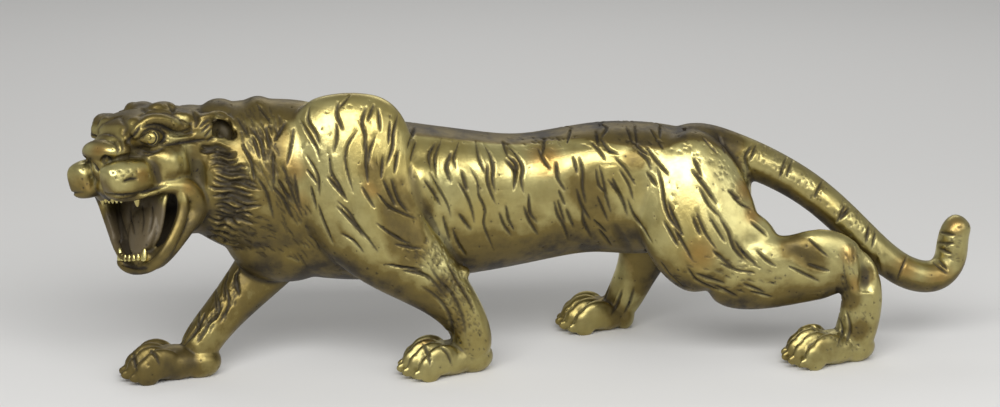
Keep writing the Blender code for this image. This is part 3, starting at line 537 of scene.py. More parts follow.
# the face, in points of the same picture: line, half width, depth (minus raises), patina, on both sides
faceLines = [
    ([(92, 162), (96, 168), (101, 175), (103, 184), (104, 194)], 0.9, 1.5, 1.0, False),  # under the nose
    ([(102, 161), (105, 158), (109, 159), (110, 163)], 1.3, 2.2, 1.0, True),  # nostril
    ([(108, 141), (114, 143), (118, 149), (117, 156)], 0.9, 1.0, 0.8, True),  # wing of the nose
    ([(104, 133), (112, 134), (120, 139), (123, 147), (122, 154)], 0.9, 0.6, 0.7, True),
    ([(113, 161), (119, 158), (131, 156), (143, 158)], 1.4, 0.9, 0.8, True),  # over the pad
    ([(123, 182), (131, 179), (139, 179)], 0.9, 1.2, 1.0, True),  # whisker slit
    ([(148, 158), (154, 165), (157, 174), (157, 184)], 3.4, 1.1, 0.3, True),
    ([(105, 193), (116, 195), (130, 195), (144, 192), (156, 188), (168, 186)], 0.9, 1.0, 1.0, True),
    ([(104, 198), (118, 200), (134, 199), (150, 195)], 1.1, -0.7, 0, True),
    ([(139, 140), (143, 133), (150, 129), (158, 130), (165, 135), (163, 141), (156, 144), (148, 144),
      (142, 143), (139, 140)], 0.9, 1.0, 1.0, True),  # round the eye
    ([(140, 137), (147, 130.5), (156, 129.5), (165, 135)], 0.9, -0.8, 0.1, True),  # lids
    ([(141, 140), (149, 144.5), (157, 144.5), (165, 140)], 0.9, -0.7, 0.1, True),
    ([(137, 147), (145, 151), (156, 151), (167, 146)], 0.9, 0.8, 0.9, True),
    ([(142, 128), (149, 125.5), (159, 126), (169, 130), (178, 134)], 1.0, 1.2, 1.0, True),  # under the brow
    ([(143, 122), (150, 118), (160, 118), (170, 121), (179, 128)], 2.2, -1.1, 0, True),  # brow
    ([(140, 125), (136, 132), (130, 138), (126, 145)], 1.1, 1.0, 1.0, True),
    ([(138, 118), (146, 113), (158, 112), (170, 113), (180, 120), (186, 127)], 1.3, 1.0, 0.8, True),
    ([(166, 137), (176, 139), (188, 138), (198, 134)], 1.6, -1.0, 0, True),
    ([(161, 146), (171, 144), (183, 142), (196, 141), (208, 140)], 1.0, 1.0, 1.0, True),
    ([(172, 132), (182, 132), (192, 128)], 0.9, 0.7, 0.8, True),
    ([(128, 121), (139, 119)], 2.8, -0.9, 0, True),  # bosses of the forehead
    ([(150, 106), (164, 105)], 2.8, -0.9, 0, True),
    ([(178, 113), (191, 119)], 2.8, -0.9, 0, True),
    ([(120, 116), (126, 126), (123, 136)], 1.4, 0.8, 0.7, True),
    ([(141, 107), (146, 113)], 1.4, 0.9, 0.8, True),
    ([(168, 103), (173, 110), (174, 117)], 1.4, 0.9, 0.8, True),
    ([(193, 110), (197, 120), (194, 128)], 1.3, 0.9, 0.8, True),
    ([(166, 150), (173, 162), (178, 174)], 4.4, -0.9, 0, True),  # cheek
    ([(189, 147), (194, 160), (199, 174), (203, 188)], 3.4, 1.2, 0.3, True),
    ([(198, 118), (207, 116), (216, 113), (226, 114)], 1.4, -1.0, 0, True),  # rims of the ear
    ([(226, 115), (232, 121), (234, 130), (233, 139)], 1.2, -0.9, 0, True),
    ([(199, 128), (205, 122), (211, 118)], 0.7, 0.7, 0.9, True),
    ([(201, 133), (207, 127), (211, 123)], 0.7, 0.7, 0.9, True),
    ([(204, 138), (209, 132), (212, 128)], 0.7, 0.6, 0.9, True),
    ([(207, 142), (212, 138), (216, 137)], 0.7, 0.6, 0.9, True),
    ([(129, 206), (131, 220), (135, 236)], 0.9, 0.6, 0.5, False),  # folds inside the mouth
    ([(119, 208), (122, 222), (128, 238)], 0.9, 0.5, 0.5, False),
    ([(142, 204), (143, 220), (142, 234)], 0.9, 0.6, 0.5, False),
    ([(152, 202), (152, 218), (149, 234)], 0.9, 0.5, 0.5, False),
    ([(167, 112), (177, 108), (187, 108)], 0.6, 0.4, 0.8, True),
    ([(137, 153), (144, 155), (152, 154), (160, 151)], 0.6, 0.4, 0.9, True),
    ([(122, 264), (130, 266), (140, 268), (148, 268)], 1.2, 1.0, 1.0, False),  # under the lower teeth
]
whiskerPits = [
    (113, 173), (116, 178), (120, 171), (124, 176), (129, 171), (133, 175), (137, 171), (82, 179),
    (87, 184), (83, 188),
    (91, 177),
]

# hollows pressed into the casting, given as the lines of the face are
hollows = [
    ([(215, 121), (221, 124), (227, 129), (231, 135)], 2.4, 3.4, 1.0, True),  # the ear
    ([(863, 252), (867, 272), (866, 294)], 4.2, 3.2, 0.3, False),  # at the hock
    ([(850, 244), (849, 262), (852, 282), (858, 300)], 2.2, -1.3, 0, False),
    ([(880, 250), (882, 270), (880, 292)], 1.8, -0.7, 0, False),
    ([(790, 250), (812, 262), (832, 268)], 3.2, 1.0, 0.3, False),
    ([(833, 303), (831, 320), (822, 336)], 2.6, 1.2, 0.4, False),  # over the paws
    ([(452, 330), (446, 344), (436, 352)], 2.6, 1.0, 0.4, False),
]

# tufts of the ruff run from the edge of the cheek back and down
ruff = {
    "roots": [(199, 146), (204, 160), (206, 176), (207, 192), (205, 206), (203, 220), (204, 236)],
    "tips": [(232, 146), (246, 162), (258, 180), (266, 198), (262, 214), (252, 228), (238, 246)],
    "rows": 22,
    "half": 1.15,
    "depth": 1.6,
}
# loose hatching: corners of a patch, direction of the stroke, its length, how many
hatching = [
    ([(236, 104), (282, 106), (272, 176), (246, 172)], (4, 12), 15, 80),
    ([(208, 236), (260, 214), (300, 262), (240, 250)], (9, 4), 8, 60),
    ([(262, 170), (286, 160), (318, 236), (296, 262)], (6, 10), 14, 50),
    ([(392, 232), (440, 246), (470, 300), (440, 300)], (8, 7), 7, 60),
    ([(232, 262), (262, 268), (214, 330), (196, 336)], (-5, 11), 8, 36),
    ([(700, 250), (790, 262), (770, 296), (660, 288)], (11, 3), 8, 40),
    ([(832, 244), (862, 240), (850, 300), (836, 300)], (3, 8), 5, 26),
    ([(500, 136), (720, 140), (726, 150), (500, 148)], (8, 5), 6, 60),
    ([(424, 236), (456, 250), (482, 330), (452, 330)], (2, 4), 3, 150),
    ([(436, 300), (480, 300), (488, 356), (450, 356)], (2, 4), 2, 60),
    ([(820, 300), (880, 300), (870, 350), (826, 350)], (2, 4), 2, 60),
    ([(690, 150), (752, 150), (752, 200), (700, 190)], (4, 5), 3, 50),
    ([(745, 148), (765, 142), (884, 226), (872, 240)], (-3, 8), 4, 90),
    ([(944, 232), (962, 224), (962, 262), (946, 262)], (8, 1), 5, 16),
]


class Surface:
    # the skin under the tools: where each vertex is, and how dark its patina has become

    def __init__(self, piece):
        self.piece = piece
        self.mesh = piece.data
        self.dark = np.zeros(len(self.mesh.vertices))
        self.refresh()

    def read(self, what):
        flat = np.empty(len(self.mesh.vertices) * 3)
        self.mesh.vertices.foreach_get(what, flat)
        return flat.reshape(-1, 3)

    def refresh(self):
        self.spots = self.read("co")
        self.normals = self.read("normal")
        self.near = KDTree(len(self.spots))
        for i, spot in enumerate(self.spots):
            self.near.insert(spot, i)
        self.near.balance()
        self.skin = BVHTree.FromObject(self.piece, bpy.context.evaluated_depsgraph_get())

    def write(self):
        self.mesh.vertices.foreach_set("co", self.spots.ravel())
        self.mesh.update()
        self.refresh()

    def lay(self, line, flip=1, spacing=0.35):
        # a drawn line laid on the skin along the line of sight
        eye, centre, right, up = drawingPlane(flip)
        laid = []
        for (a0, b0), (a1, b1) in zip(line, line[1:]):
            steps = max(1, round(math.hypot(a1 - a0, b1 - b0) / spacing))
            for k in range(steps):
                part = k / steps
                spot = centre + right * (a0 + (a1 - a0) * part) + up * (b0 + (b1 - b0) * part)
                hit = self.skin.ray_cast(eye * mm, (spot - eye).normalized())
                if hit[0] is not None and (not laid or (hit[0] - laid[-1]).length < 4 * mm):
                    laid.append(hit[0])
        return laid

    def acrossFace(self, laid):
        # the same line on the far side of the face
        other = []
        for spot in laid:
            inHead = head.inverted() @ (spot / mm)
            inHead.y = -inHead.y
            hit = self.skin.find_nearest(head @ inHead * mm)
            other.append(hit[0])
        return other

    def cut(self, laid, half, depth, burr=0.0, shade=1.0, blunt=0.4):
        # a tapered groove, deepest along its line, with a little metal thrown up beside it;
        # a negative depth raises a ridge
        best = {}
        for k, spot in enumerate(laid):
            taper = math.sqrt(math.sin(math.pi * (k + 0.5) / len(laid)))
            reach = half * (blunt + (1 - blunt) * taper) * mm
            for _, i, distance in self.near.find_range(spot, reach * (1.9 if burr else 1)):
                ratio = distance / reach
                if ratio < best.get(i, (9, 0))[0]:
                    best[i] = (ratio, taper)
        for i, (ratio, taper) in best.items():
            if ratio < 1:
                push = -depth * taper * (1 - ratio * ratio) ** 1.2
                self.dark[i] = max(self.dark[i], shade * min(1.0, taper * 1.4) * (1 - ratio ** 3))
            else:
                push = burr * taper * math.sin(math.pi * (ratio - 1) / 0.9)
            self.spots[i] += self.normals[i] * (push * mm)


def between(a, b, part):
    return a[0] + (b[0] - a[0]) * part, a[1] + (b[1] - a[1]) * part


def along(points, part):
    place = part * (len(points) - 1)
    k = min(int(place), len(points) - 2)
    return between(points[k], points[k + 1], place - k)


def ruffLines(rand):
    lines = []
    for row in range(ruff["rows"]):
        part = (row + rand.uniform(-0.3, 0.3)) / (ruff["rows"] - 1)
        part = min(max(part, 0), 1)
        start = along(ruff["roots"], part)
        end = along(ruff["tips"], min(1, part + 0.03))
        wave = rand.uniform(1.0, 2.0)
        first = rand.uniform(0, 0.25)
        last = rand.uniform(0.75, 1.0)
        line = []
        for k in range(7):
            x, y = between(start, end, first + (last - first) * k / 6)
            line.append((x, y + wave * math.sin(k * 1.5 + row * 0.7)))
        lines.append(line)
    return lines


def hatchLines(rand):
    lines = []
    for corners, direction, length, count in hatching:
        size = math.hypot(*direction)
        for _ in range(count):
            across, down = rand.random(), rand.random()
            upper = between(corners[0], corners[1], across)
            lower = between(corners[3], corners[2], across)
            x, y = between(upper, lower, down)
            turn = rand.uniform(-0.25, 0.25)
            dx, dy = direction[0] / size, direction[1] / size
            c, s = math.cos(turn), math.sin(turn)
            dx, dy = dx * c - dy * s, dx * s + dy * c
            reach = length * rand.uniform(0.5, 1.1)
            middle = (x + dx * reach * 0.5 + 0.4, y + dy * reach * 0.5)
            lines.append([(x, y), middle, (x + dx * reach, y + dy * reach)])
    return lines


def curve(line, pieces=5):
    # a smooth line through the drawn points
    points = [line[0]] + list(line) + [line[-1]]
    smooth = [line[0]]
    for a, b, c, d in zip(points, points[1:], points[2:], points[3:]):
        for k in range(1, pieces + 1):
            t = k / pieces
            smooth.append(tuple(
                0.5 * (2 * b[n] + (c[n] - a[n]) * t + (2 * a[n] - 5 * b[n] + 4 * c[n] - d[n]) * t * t
                       + (3 * b[n] - a[n] - 3 * c[n] + d[n]) * t ** 3)
                for n in (0, 1)
            ))
    return smooth


def lengthen(line, more):
    (a0, b0), (a1, b1) = line[0], line[1]
    (a2, b2), (a3, b3) = line[-2], line[-1]
    first = math.hypot(a1 - a0, b1 - b0)
    last = math.hypot(a3 - a2, b3 - b2)
    start = (a0 - (a1 - a0) * more / first, b0 - (b1 - b0) * more / first)
    end = (a3 + (a3 - a2) * more / last, b3 + (b3 - b2) * more / last)
    return [start] + line + [end]


def chaseBody(surface):
    every = shoulderStrokes + neckStrokes + flankStrokes + haunchStrokes
    every += backStrokes + tailStrokes + legStrokes
    for flip in (1, -1):
        for line in folds:
            surface.cut(surface.lay(line, flip), 2.6, 1.1, shade=0.5)
    surface.write()
    rand = random.Random(7)
    for flip in (1, -1):
        for line in every:
            half = chisel["half"] * rand.uniform(0.8, 1.15)
            laid = surface.lay(curve(lengthen(line, chisel["longer"])), flip)
            surface.cut(laid, half, chisel["depth"], chisel["burr"], shade=0.9, blunt=0.4)
    surface.write()
    for flip in (1, -1):
        for line in legLines:
            surface.cut(surface.lay(curve(fromView(line)), flip), 0.9, 0.7, 0.1, shade=0.85)
    surface.write()
    for flip in (1, -1):
        for line in hatchLines(rand):
            surface.cut(surface.lay(fromView(line), flip), 0.55, 0.35, shade=0.6)
    surface.write()
    for _ in range(pits["count"]):
        # gas pits of the casting
        i = rand.randrange(len(surface.spots))
        half = rand.uniform(*pits["half"])
        surface.cut([Vector(surface.spots[i])], half, pits["depth"], shade=0.9, blunt=1)
    surface.write()


def chaseHead(surface):
    for _ in range(2):
        for line, half, depth, shade, both in hollows:
            laid = surface.lay(fromView(line))
            surface.cut(laid, half, depth / 2, shade=shade / 2, blunt=1)
            if both:
                surface.cut(surface.acrossFace(laid), half, depth / 2, shade=shade / 2, blunt=1)
        surface.write()
    for line, half, depth, shade, both in faceLines:
        laid = surface.lay(curve(fromView(line)))
        surface.cut(laid, half, depth, shade=shade)
        if both:
            surface.cut(surface.acrossFace(laid), half, depth, shade=shade)
    surface.write()
    for point in whiskerPits:
        laid = surface.lay(fromView([point, (point[0] + 0.5, point[1] + 0.2)]))
        surface.cut(laid[:1], 0.6, 0.5, shade=0.9, blunt=1)
    rand = random.Random(3)
    for line in ruffLines(rand):
        laid = surface.lay(fromView(line))
        for lock in (laid, surface.acrossFace(laid)):
            surface.cut(lock, ruff["half"], ruff["depth"], burr=0.25, shade=0.9)
    surface.write()


def settlePatinaAndShade(surface):
    # patina also stays in hollows: where the skin lies below the mean of its surroundings;
    # and where little of the sky is seen, painted shade is kept as well
    mesh = surface.mesh
    edges = np.empty(len(mesh.edges) * 2, dtype=np.int64)
    mesh.edges.foreach_get("vertices", edges)
    a, b = edges.reshape(-1, 2).T
    count = len(mesh.vertices)
    weight = np.bincount(a, minlength=count) + np.bincount(b, minlength=count)

    def spread(values):
        total = np.bincount(a, values[b], minlength=count) + np.bincount(b, values[a], minlength=count)
        return total / weight

    mean = surface.spots.copy()
    depths = []
    for passes in (10, 50):
        for _ in range(passes):
            mean = np.stack([spread(mean[:, k]) for k in range(3)], axis=1)
        depths.append(((mean - surface.spots) * surface.normals).sum(axis=1) / mm)
    step = 24  # one vertex in so many is asked
    shelter = np.zeros(count)
    ways = [
        (0, 0, 1), (1, 0, 0.5), (-1, 0, 0.5), (0, 1, 0.5), (0, -1, 0.5), (0.6, 0.6, 1), (-0.6, 0.6, 1),
        (0.6, -0.6, 1), (-0.6, -0.6, 1), (1, 1, 0), (-1, 1, 0), (1, -1, 0), (-1, -1, 0), (0, 0, -1),
    ]
    rays = [Vector(way).normalized() for way in ways]
    some = KDTree(len(range(0, count, step)))
    seen = []
    for n, i in enumerate(range(0, count, step)):
        spot, normal = Vector(surface.spots[i]), Vector(surface.normals[i])
        blocked, asked = 0.0, 0.0
        for ray in rays:
            facing = normal.dot(ray)
            if facing > 0.05:
                asked += facing
                if surface.skin.ray_cast(spot + normal * 0.3 * mm, ray, 40 * mm)[0] is not None:
                    blocked += facing
        seen.append(blocked / asked if asked else 0)
        some.insert(spot, n)
    some.balance()
    for i in range(count):
        found = some.find_n(surface.spots[i], 2)
        shelter[i] = sum(seen[n] for _, n, _ in found) / len(found)
    for _ in range(6):
        shelter = spread(shelter)
    surface.hollow = np.clip(np.maximum(depths[0] / 0.35, depths[1] / 0.8), -1, 1)
    surface.shelter = shelter
    stain = surface.dark.copy()
    for _ in range(14):
        stain = spread(stain)
    surface.stain = np.clip(stain * 1.6, 0, 1)
    surface.grime, surface.mouth = dullAndShadedPlaces(surface)
    for _ in range(4):
        surface.grime = spread(surface.grime)


def soft(values, low, high):
    part = np.clip((values - low) / (high - low), 0, 1)
    return part * part * (3 - 2 * part)


def dullAndShadedPlaces(surface):
    # where the maker left the cast skin: on crown, mane and lip, and along the spine and nape on skin facing
    # up, there partly painted dark reflection; painted shade under the body, on the inner sides of the near
    # legs and on skin that does not face up; darker low on the legs and along the tail; and apart from them
    # the mouth
    x, y, z = (surface.spots / mm).T
    nx, ny, nz = surface.normals.T
    spine = -5 + 5 * soft(x, -60, 20)
    half = 10 + 6 * soft(x, 10, 45)
    # along the spine and nape on skin facing up: partly cast skin, partly a painted dark reflection
    back = soft(half - np.abs(y - spine), -0.5, 0.5) * soft(nz, 0, 0.3) * soft(x, -52, -46)
    back = back * (1 - soft(x, 84, 96)) * soft(z, 60, 80)
    nape = soft(nz, 0.55, 0.9) * (1 - soft(x, -88, -80)) * soft(z, 95, 102)
    # painted shade under the body and on the inner sides of the near legs
    under = soft(-nz, -0.2, 0.55) * soft(z, 10, 20)
    inner = soft(ny, 0.2, 0.8) * soft(z, 14, 24) * (1 - soft(z, 40, 50)) * (y < 0)
    turned = np.array(head.inverted().to_3x3())
    inHead = (surface.spots / mm - np.array(head.translation)) @ turned.T
    f, l, u = inHead.T
    mouth = 1 - soft(((l + 0.6) / 13.6) ** 2 + ((u + 30) / 13.4) ** 2, 0.8, 1.1)
    mouth *= soft(-f, 9, 12) * (1 - soft(-f, 40, 44))
    crown = soft(u, 4, 10) * soft(-f, 4, 14) * 0.7
    mane = soft(-x, 84, 96) * (1 - soft(-x, 128, 136)) * 0.5
    lip = soft(-u, 20, 27) * soft(f, -42, -36) * 0.8
    # painted shade on skin that does not face up; then darker low on the legs and along the tail
    side = 0.35 * soft(0.55 - nz, 0, 0.6)
    legs = 0.4 * (1 - soft(z, 8, 44))
    tail = 0.3 * soft(x, 88, 100) * soft(z + (x - 100) * 0.95, 60, 74)
    parts = [back * 0.92, nape * 0.85, under, inner * 0.9, crown * 0.7, mane * 1.1, lip, side, legs, tail]
    return np.maximum(np.maximum.reduce(parts), 0), mouth


def keep(surface, name, values):
    layer = surface.mesh.attributes.new(name, "FLOAT", "POINT")
    layer.data.foreach_set("value", values.astype(np.float32))


def castTiger():
    print("rough body")
    body = roughBody()
    print("face and paws")
    pieces = [body] + faceForms()
    pieces += addPaw((-23, -20), 196)
    pieces += addPaw((-130, -12), 188, long=35, wide=19)
    pieces += addPaw((130.5, -27.5), 193, long=34)
    pieces += addPaw((46.5, 30), 188, long=31, heel=5)
    tiger = melt("tigerCasting", pieces, clay["fineGrain"], clay["finePasses"])
    print("chasing", len(tiger.data.vertices), "vertices")
    surface = Surface(tiger)
    chaseHead(surface)
    chaseBody(surface)
    # patina, with painted shade on sheltered skin and undersides
    print("patina")
    settlePatinaAndShade(surface)
    keep(surface, "patina", surface.dark)
    for name in ("hollow", "shelter", "stain", "grime", "mouth"):
        keep(surface, name, getattr(surface, name))
    tiger.data.transform(Matrix.Scale(mm, 4) @ toModel @ Matrix.Scale(1 / mm, 4))
    for vertex in tiger.data.vertices:
        vertex.co.z = max(vertex.co.z, 0)
    thin = tiger.modifiers.new("thin", "DECIMATE")
    thin.ratio = min(1, clay["triangles"] / (2 * len(tiger.data.polygons)))
    applyAll(tiger)
    tiger.data.shade_smooth()
    print("casting", len(tiger.data.polygons), "faces")
    return tiger


eyes = {
    "forward": -18.9,
    "out": 12.9,
    "up": 2.5,
    "radius": 3.25,
    "gaze": (0.84, 0.5, 0.08),
    "ring": (54, 10),  # where, and half its width
    "pupil": 18,
    "socket": 64,
}
# teeth: root in the head's frame, way it points, length, half thickness
teeth = [
    ((-10.4, 10, -18.6), (0.05, 0, -1), 4.4, 1.5), ((-10.4, -10, -18.6), (0.05, 0, -1), 4.4, 1.5),
    ((-6.6, 5.2, -18.8), (0, 0, -1), 2.0, 0.95), ((-6.2, 3.1, -18.9), (0, 0, -1), 2.0, 0.95),
    ((-6.0, 1.0, -19), (0, 0, -1), 2.0, 0.95), ((-6.0, -1.1, -19), (0, 0, -1), 2.0, 0.95),
    ((-6.2, -3.2, -18.9), (0, 0, -1), 2.0, 0.95), ((-6.6, -5.3, -18.8), (0, 0, -1), 2.0, 0.95),
    ((-12.2, 7.6, -43), (-0.15, 0.1, 1), 4.2, 1.4), ((-10.8, -4.6, -43), (-0.15, -0.1, 1), 4.2, 1.4),
    ((-11.4, 5.2, -43.2), (0, 0, 1), 2.2, 0.9), ((-10.9, 3.2, -43.4), (0, 0, 1), 2.2, 0.9),
    ((-10.4, 1.2, -43.5), (0, 0, 1), 2.2, 0.9), ((-10.1, -0.8, -43.5), (0, 0, 1), 2.2, 0.9),
    ((-10.2, -2.7, -43.4), (0, 0, 1), 2.2, 0.9),
]


def addEye(side):
    # ball with a sunk ring round the iris and a drilled pupil, in degrees from the gaze
    letGo()
    bpy.ops.mesh.primitive_uv_sphere_add(segments=48, ring_count=40, radius=1)
    piece = bpy.context.active_object
    piece.name = "eye"
    forward, out, up = eyes["gaze"]
    gaze = Vector((forward, out * side, up)).to_track_quat("Z", "Y").to_matrix().to_4x4()
    ringAt, ringHalf = eyes["ring"]
    dark = []
    for vertex in piece.data.vertices:
        slope = math.degrees(vertex.co.angle(Vector((0, 0, 1))))
        ring = max(0, 1 - abs(slope - ringAt) / ringHalf)
        pupil = max(0, 1 - slope / eyes["pupil"])
        vertex.co *= 1 - 0.09 * ring - 0.12 * min(1, pupil * 2)
        dark.append(max(min(1, ring * 1.8), min(1, pupil * 4), 0.9 if slope > eyes["socket"] else 0))
    layer = piece.data.attributes.new("patina", "FLOAT", "POINT")
    layer.data.foreach_set("value", np.clip(dark, 0, 1).astype(np.float32))
    where = Matrix.Translation(Vector((eyes["forward"], side * eyes["out"], eyes["up"])))
    size = Matrix.Scale(eyes["radius"], 4)
    piece.data.transform(Matrix.Scale(mm, 4) @ toModel @ head @ where @ gaze @ size)
    piece.data.shade_smooth()
    return piece


def addTeeth():
    pieces = []
    for at, lean, length, thick in teeth:
        root = Vector(at)
        way = Vector(lean).normalized()
        stations = [(*(root + way * length * part), thick * wide, thick * wide)
                    for part, wide in ((-0.35, 1), (0, 1), (0.35, 0.85), (0.7, 0.55), (0.95, 0.22))]
        pieces.append(addLimb("tooth", stations, across=(1, 0.2, 0), place=toModel @ head))
    choose(*pieces)
    bpy.ops.object.join()
    whole = bpy.context.active_object
    whole.name = "teeth"
    whole.data.shade_smooth()
    return whole


tiger = castTiger()
print("eyes and teeth")
dressed = [tiger, addEye(1), addEye(-1), addTeeth()]

brassLook = {
    "bright": (0.74, 0.675, 0.30, 1),
    "deep": (0.56, 0.46, 0.16, 1),
    "wornAndShaded": (0.21, 0.158, 0.054, 1),
    "cast": (0.032, 0.023, 0.010, 1),
    "mouth": (0.115, 0.088, 0.047, 1),
    "patina": (0.012, 0.008, 0.004, 1),
    "warm": (0.50, 0.235, 0.045, 1),
    "rough": 0.30,
    "patinaRough": 0.62,
    "bump": 0.22,
    "bumpHeight": 0.0004,
    # the brown places also carry painted shade
    "brownAndShade": 0.8,  # strength of the brown places
    "warmth": 0.7,  # and of the orange ones
}
# places where the metal has gone brown, partly real tarnish and partly painted shade, in points of the
# picture: where, and how wide in mm
brownAndShadeSpots = [
    ((128, 148), 4.5), ((141, 152), 4.5), ((153, 152), 4.5), ((166, 150), 4.5), ((178, 147), 4),
    ((126, 132), 4.5),
    ((134, 140), 4), ((205, 150), 5), ((156, 168), 4), ((157, 180), 4), ((183, 128), 4),
    ((396, 196), 11), ((402, 222), 13), ((408, 248), 13), ((372, 170), 8), ((275, 150), 8), ((280, 205), 9),
    ((286, 235), 10), ((585, 185), 12), ((600, 215), 12), ((575, 240), 12), ((520, 256), 10),
    ((460, 258), 12),
    ((640, 250), 9), ((655, 285), 10), ((690, 292), 10), ((730, 298), 8), ((635, 160), 7), ((452, 320), 9),
    ((440, 290), 9),
    ((225, 225), 12), ((235, 250), 12), ((262, 262), 12), ((860, 330), 8), ((850, 300), 7), ((270, 262), 12),
    ((795, 248), 10), ((815, 262), 9), ((866, 275), 6), ((250, 190), 9), ((330, 300), 10), ((620, 320), 10),
    ((600, 300), 10), ((190, 330), 8), ((240, 280), 10),
]
# places tinted orange
warmSpots = [
    ((98, 152), 5), ((82, 190), 6), ((143, 176), 4), ((190, 188), 4), ((199, 199), 4.5), ((201, 209), 4),
    ((292, 170), 7),
    ((296, 205), 7), ((545, 160), 9), ((612, 230), 8), ((640, 262), 9), ((745, 190), 6), ((752, 215), 5),
    ((850, 255), 5),
    ((853, 285), 5), ((905, 270), 7), ((940, 280), 8), ((860, 212), 5), ((372, 188), 5), ((425, 340), 5),
    ((700, 255), 8),
    ((225, 250), 5), ((955, 225), 5),
]


def addNode(tree, kind, place, **settings):
    node = tree.nodes.new(kind)
    node.location = place
    for key, value in settings.items():
        setattr(node, key, value)
    return node


def mixColour(tree, place, factor, first, second, blend="MIX"):
    node = addNode(tree, "ShaderNodeMix", place, data_type="RGBA", blend_type=blend)
    for socket, value in ((0, factor), (6, first), (7, second)):
        if isinstance(value, bpy.types.NodeSocket):
            tree.links.new(value, node.inputs[socket])
        else:
            node.inputs[socket].default_value = value
    return node.outputs[2]


def doMath(tree, place, operation, first, second=0.0, clamp=False, third=0.5):
    node = addNode(tree, "ShaderNodeMath", place, operation=operation, use_clamp=clamp)
    for socket, value in ((0, first), (1, second), (2, third)):
        if isinstance(value, bpy.types.NodeSocket):
            tree.links.new(value, node.inputs[socket])
        else:
            node.inputs[socket].default_value = value
    return node.outputs[0]


def ramp(tree, place, value, low, high):
    node = addNode(tree, "ShaderNodeMapRange", place, clamp=True, interpolation_type="SMOOTHSTEP")
    tree.links.new(value, node.inputs[0])
    node.inputs[1].default_value = low
    node.inputs[2].default_value = high
    return node.outputs[0]


def noise(tree, place, scale, detail=4.0, rough=0.55, stretch=(1, 1, 1)):
    where = addNode(tree, "ShaderNodeTexCoord", (place[0] - 400, place[1]))
    turn = addNode(tree, "ShaderNodeMapping", (place[0] - 200, place[1]))
    turn.inputs["Scale"].default_value = stretch
    node = addNode(tree, "ShaderNodeTexNoise", place)
    node.inputs["Scale"].default_value = scale
    node.inputs["Detail"].default_value = detail
    node.inputs["Roughness"].default_value = rough
    tree.links.new(where.outputs["Object"], turn.inputs["Vector"])
    tree.links.new(turn.outputs["Vector"], node.inputs["Vector"])
    return node.outputs["Fac"]


def attribute(tree, place, name):
    return addNode(tree, "ShaderNodeAttribute", place, attribute_name=name).outputs["Fac"]


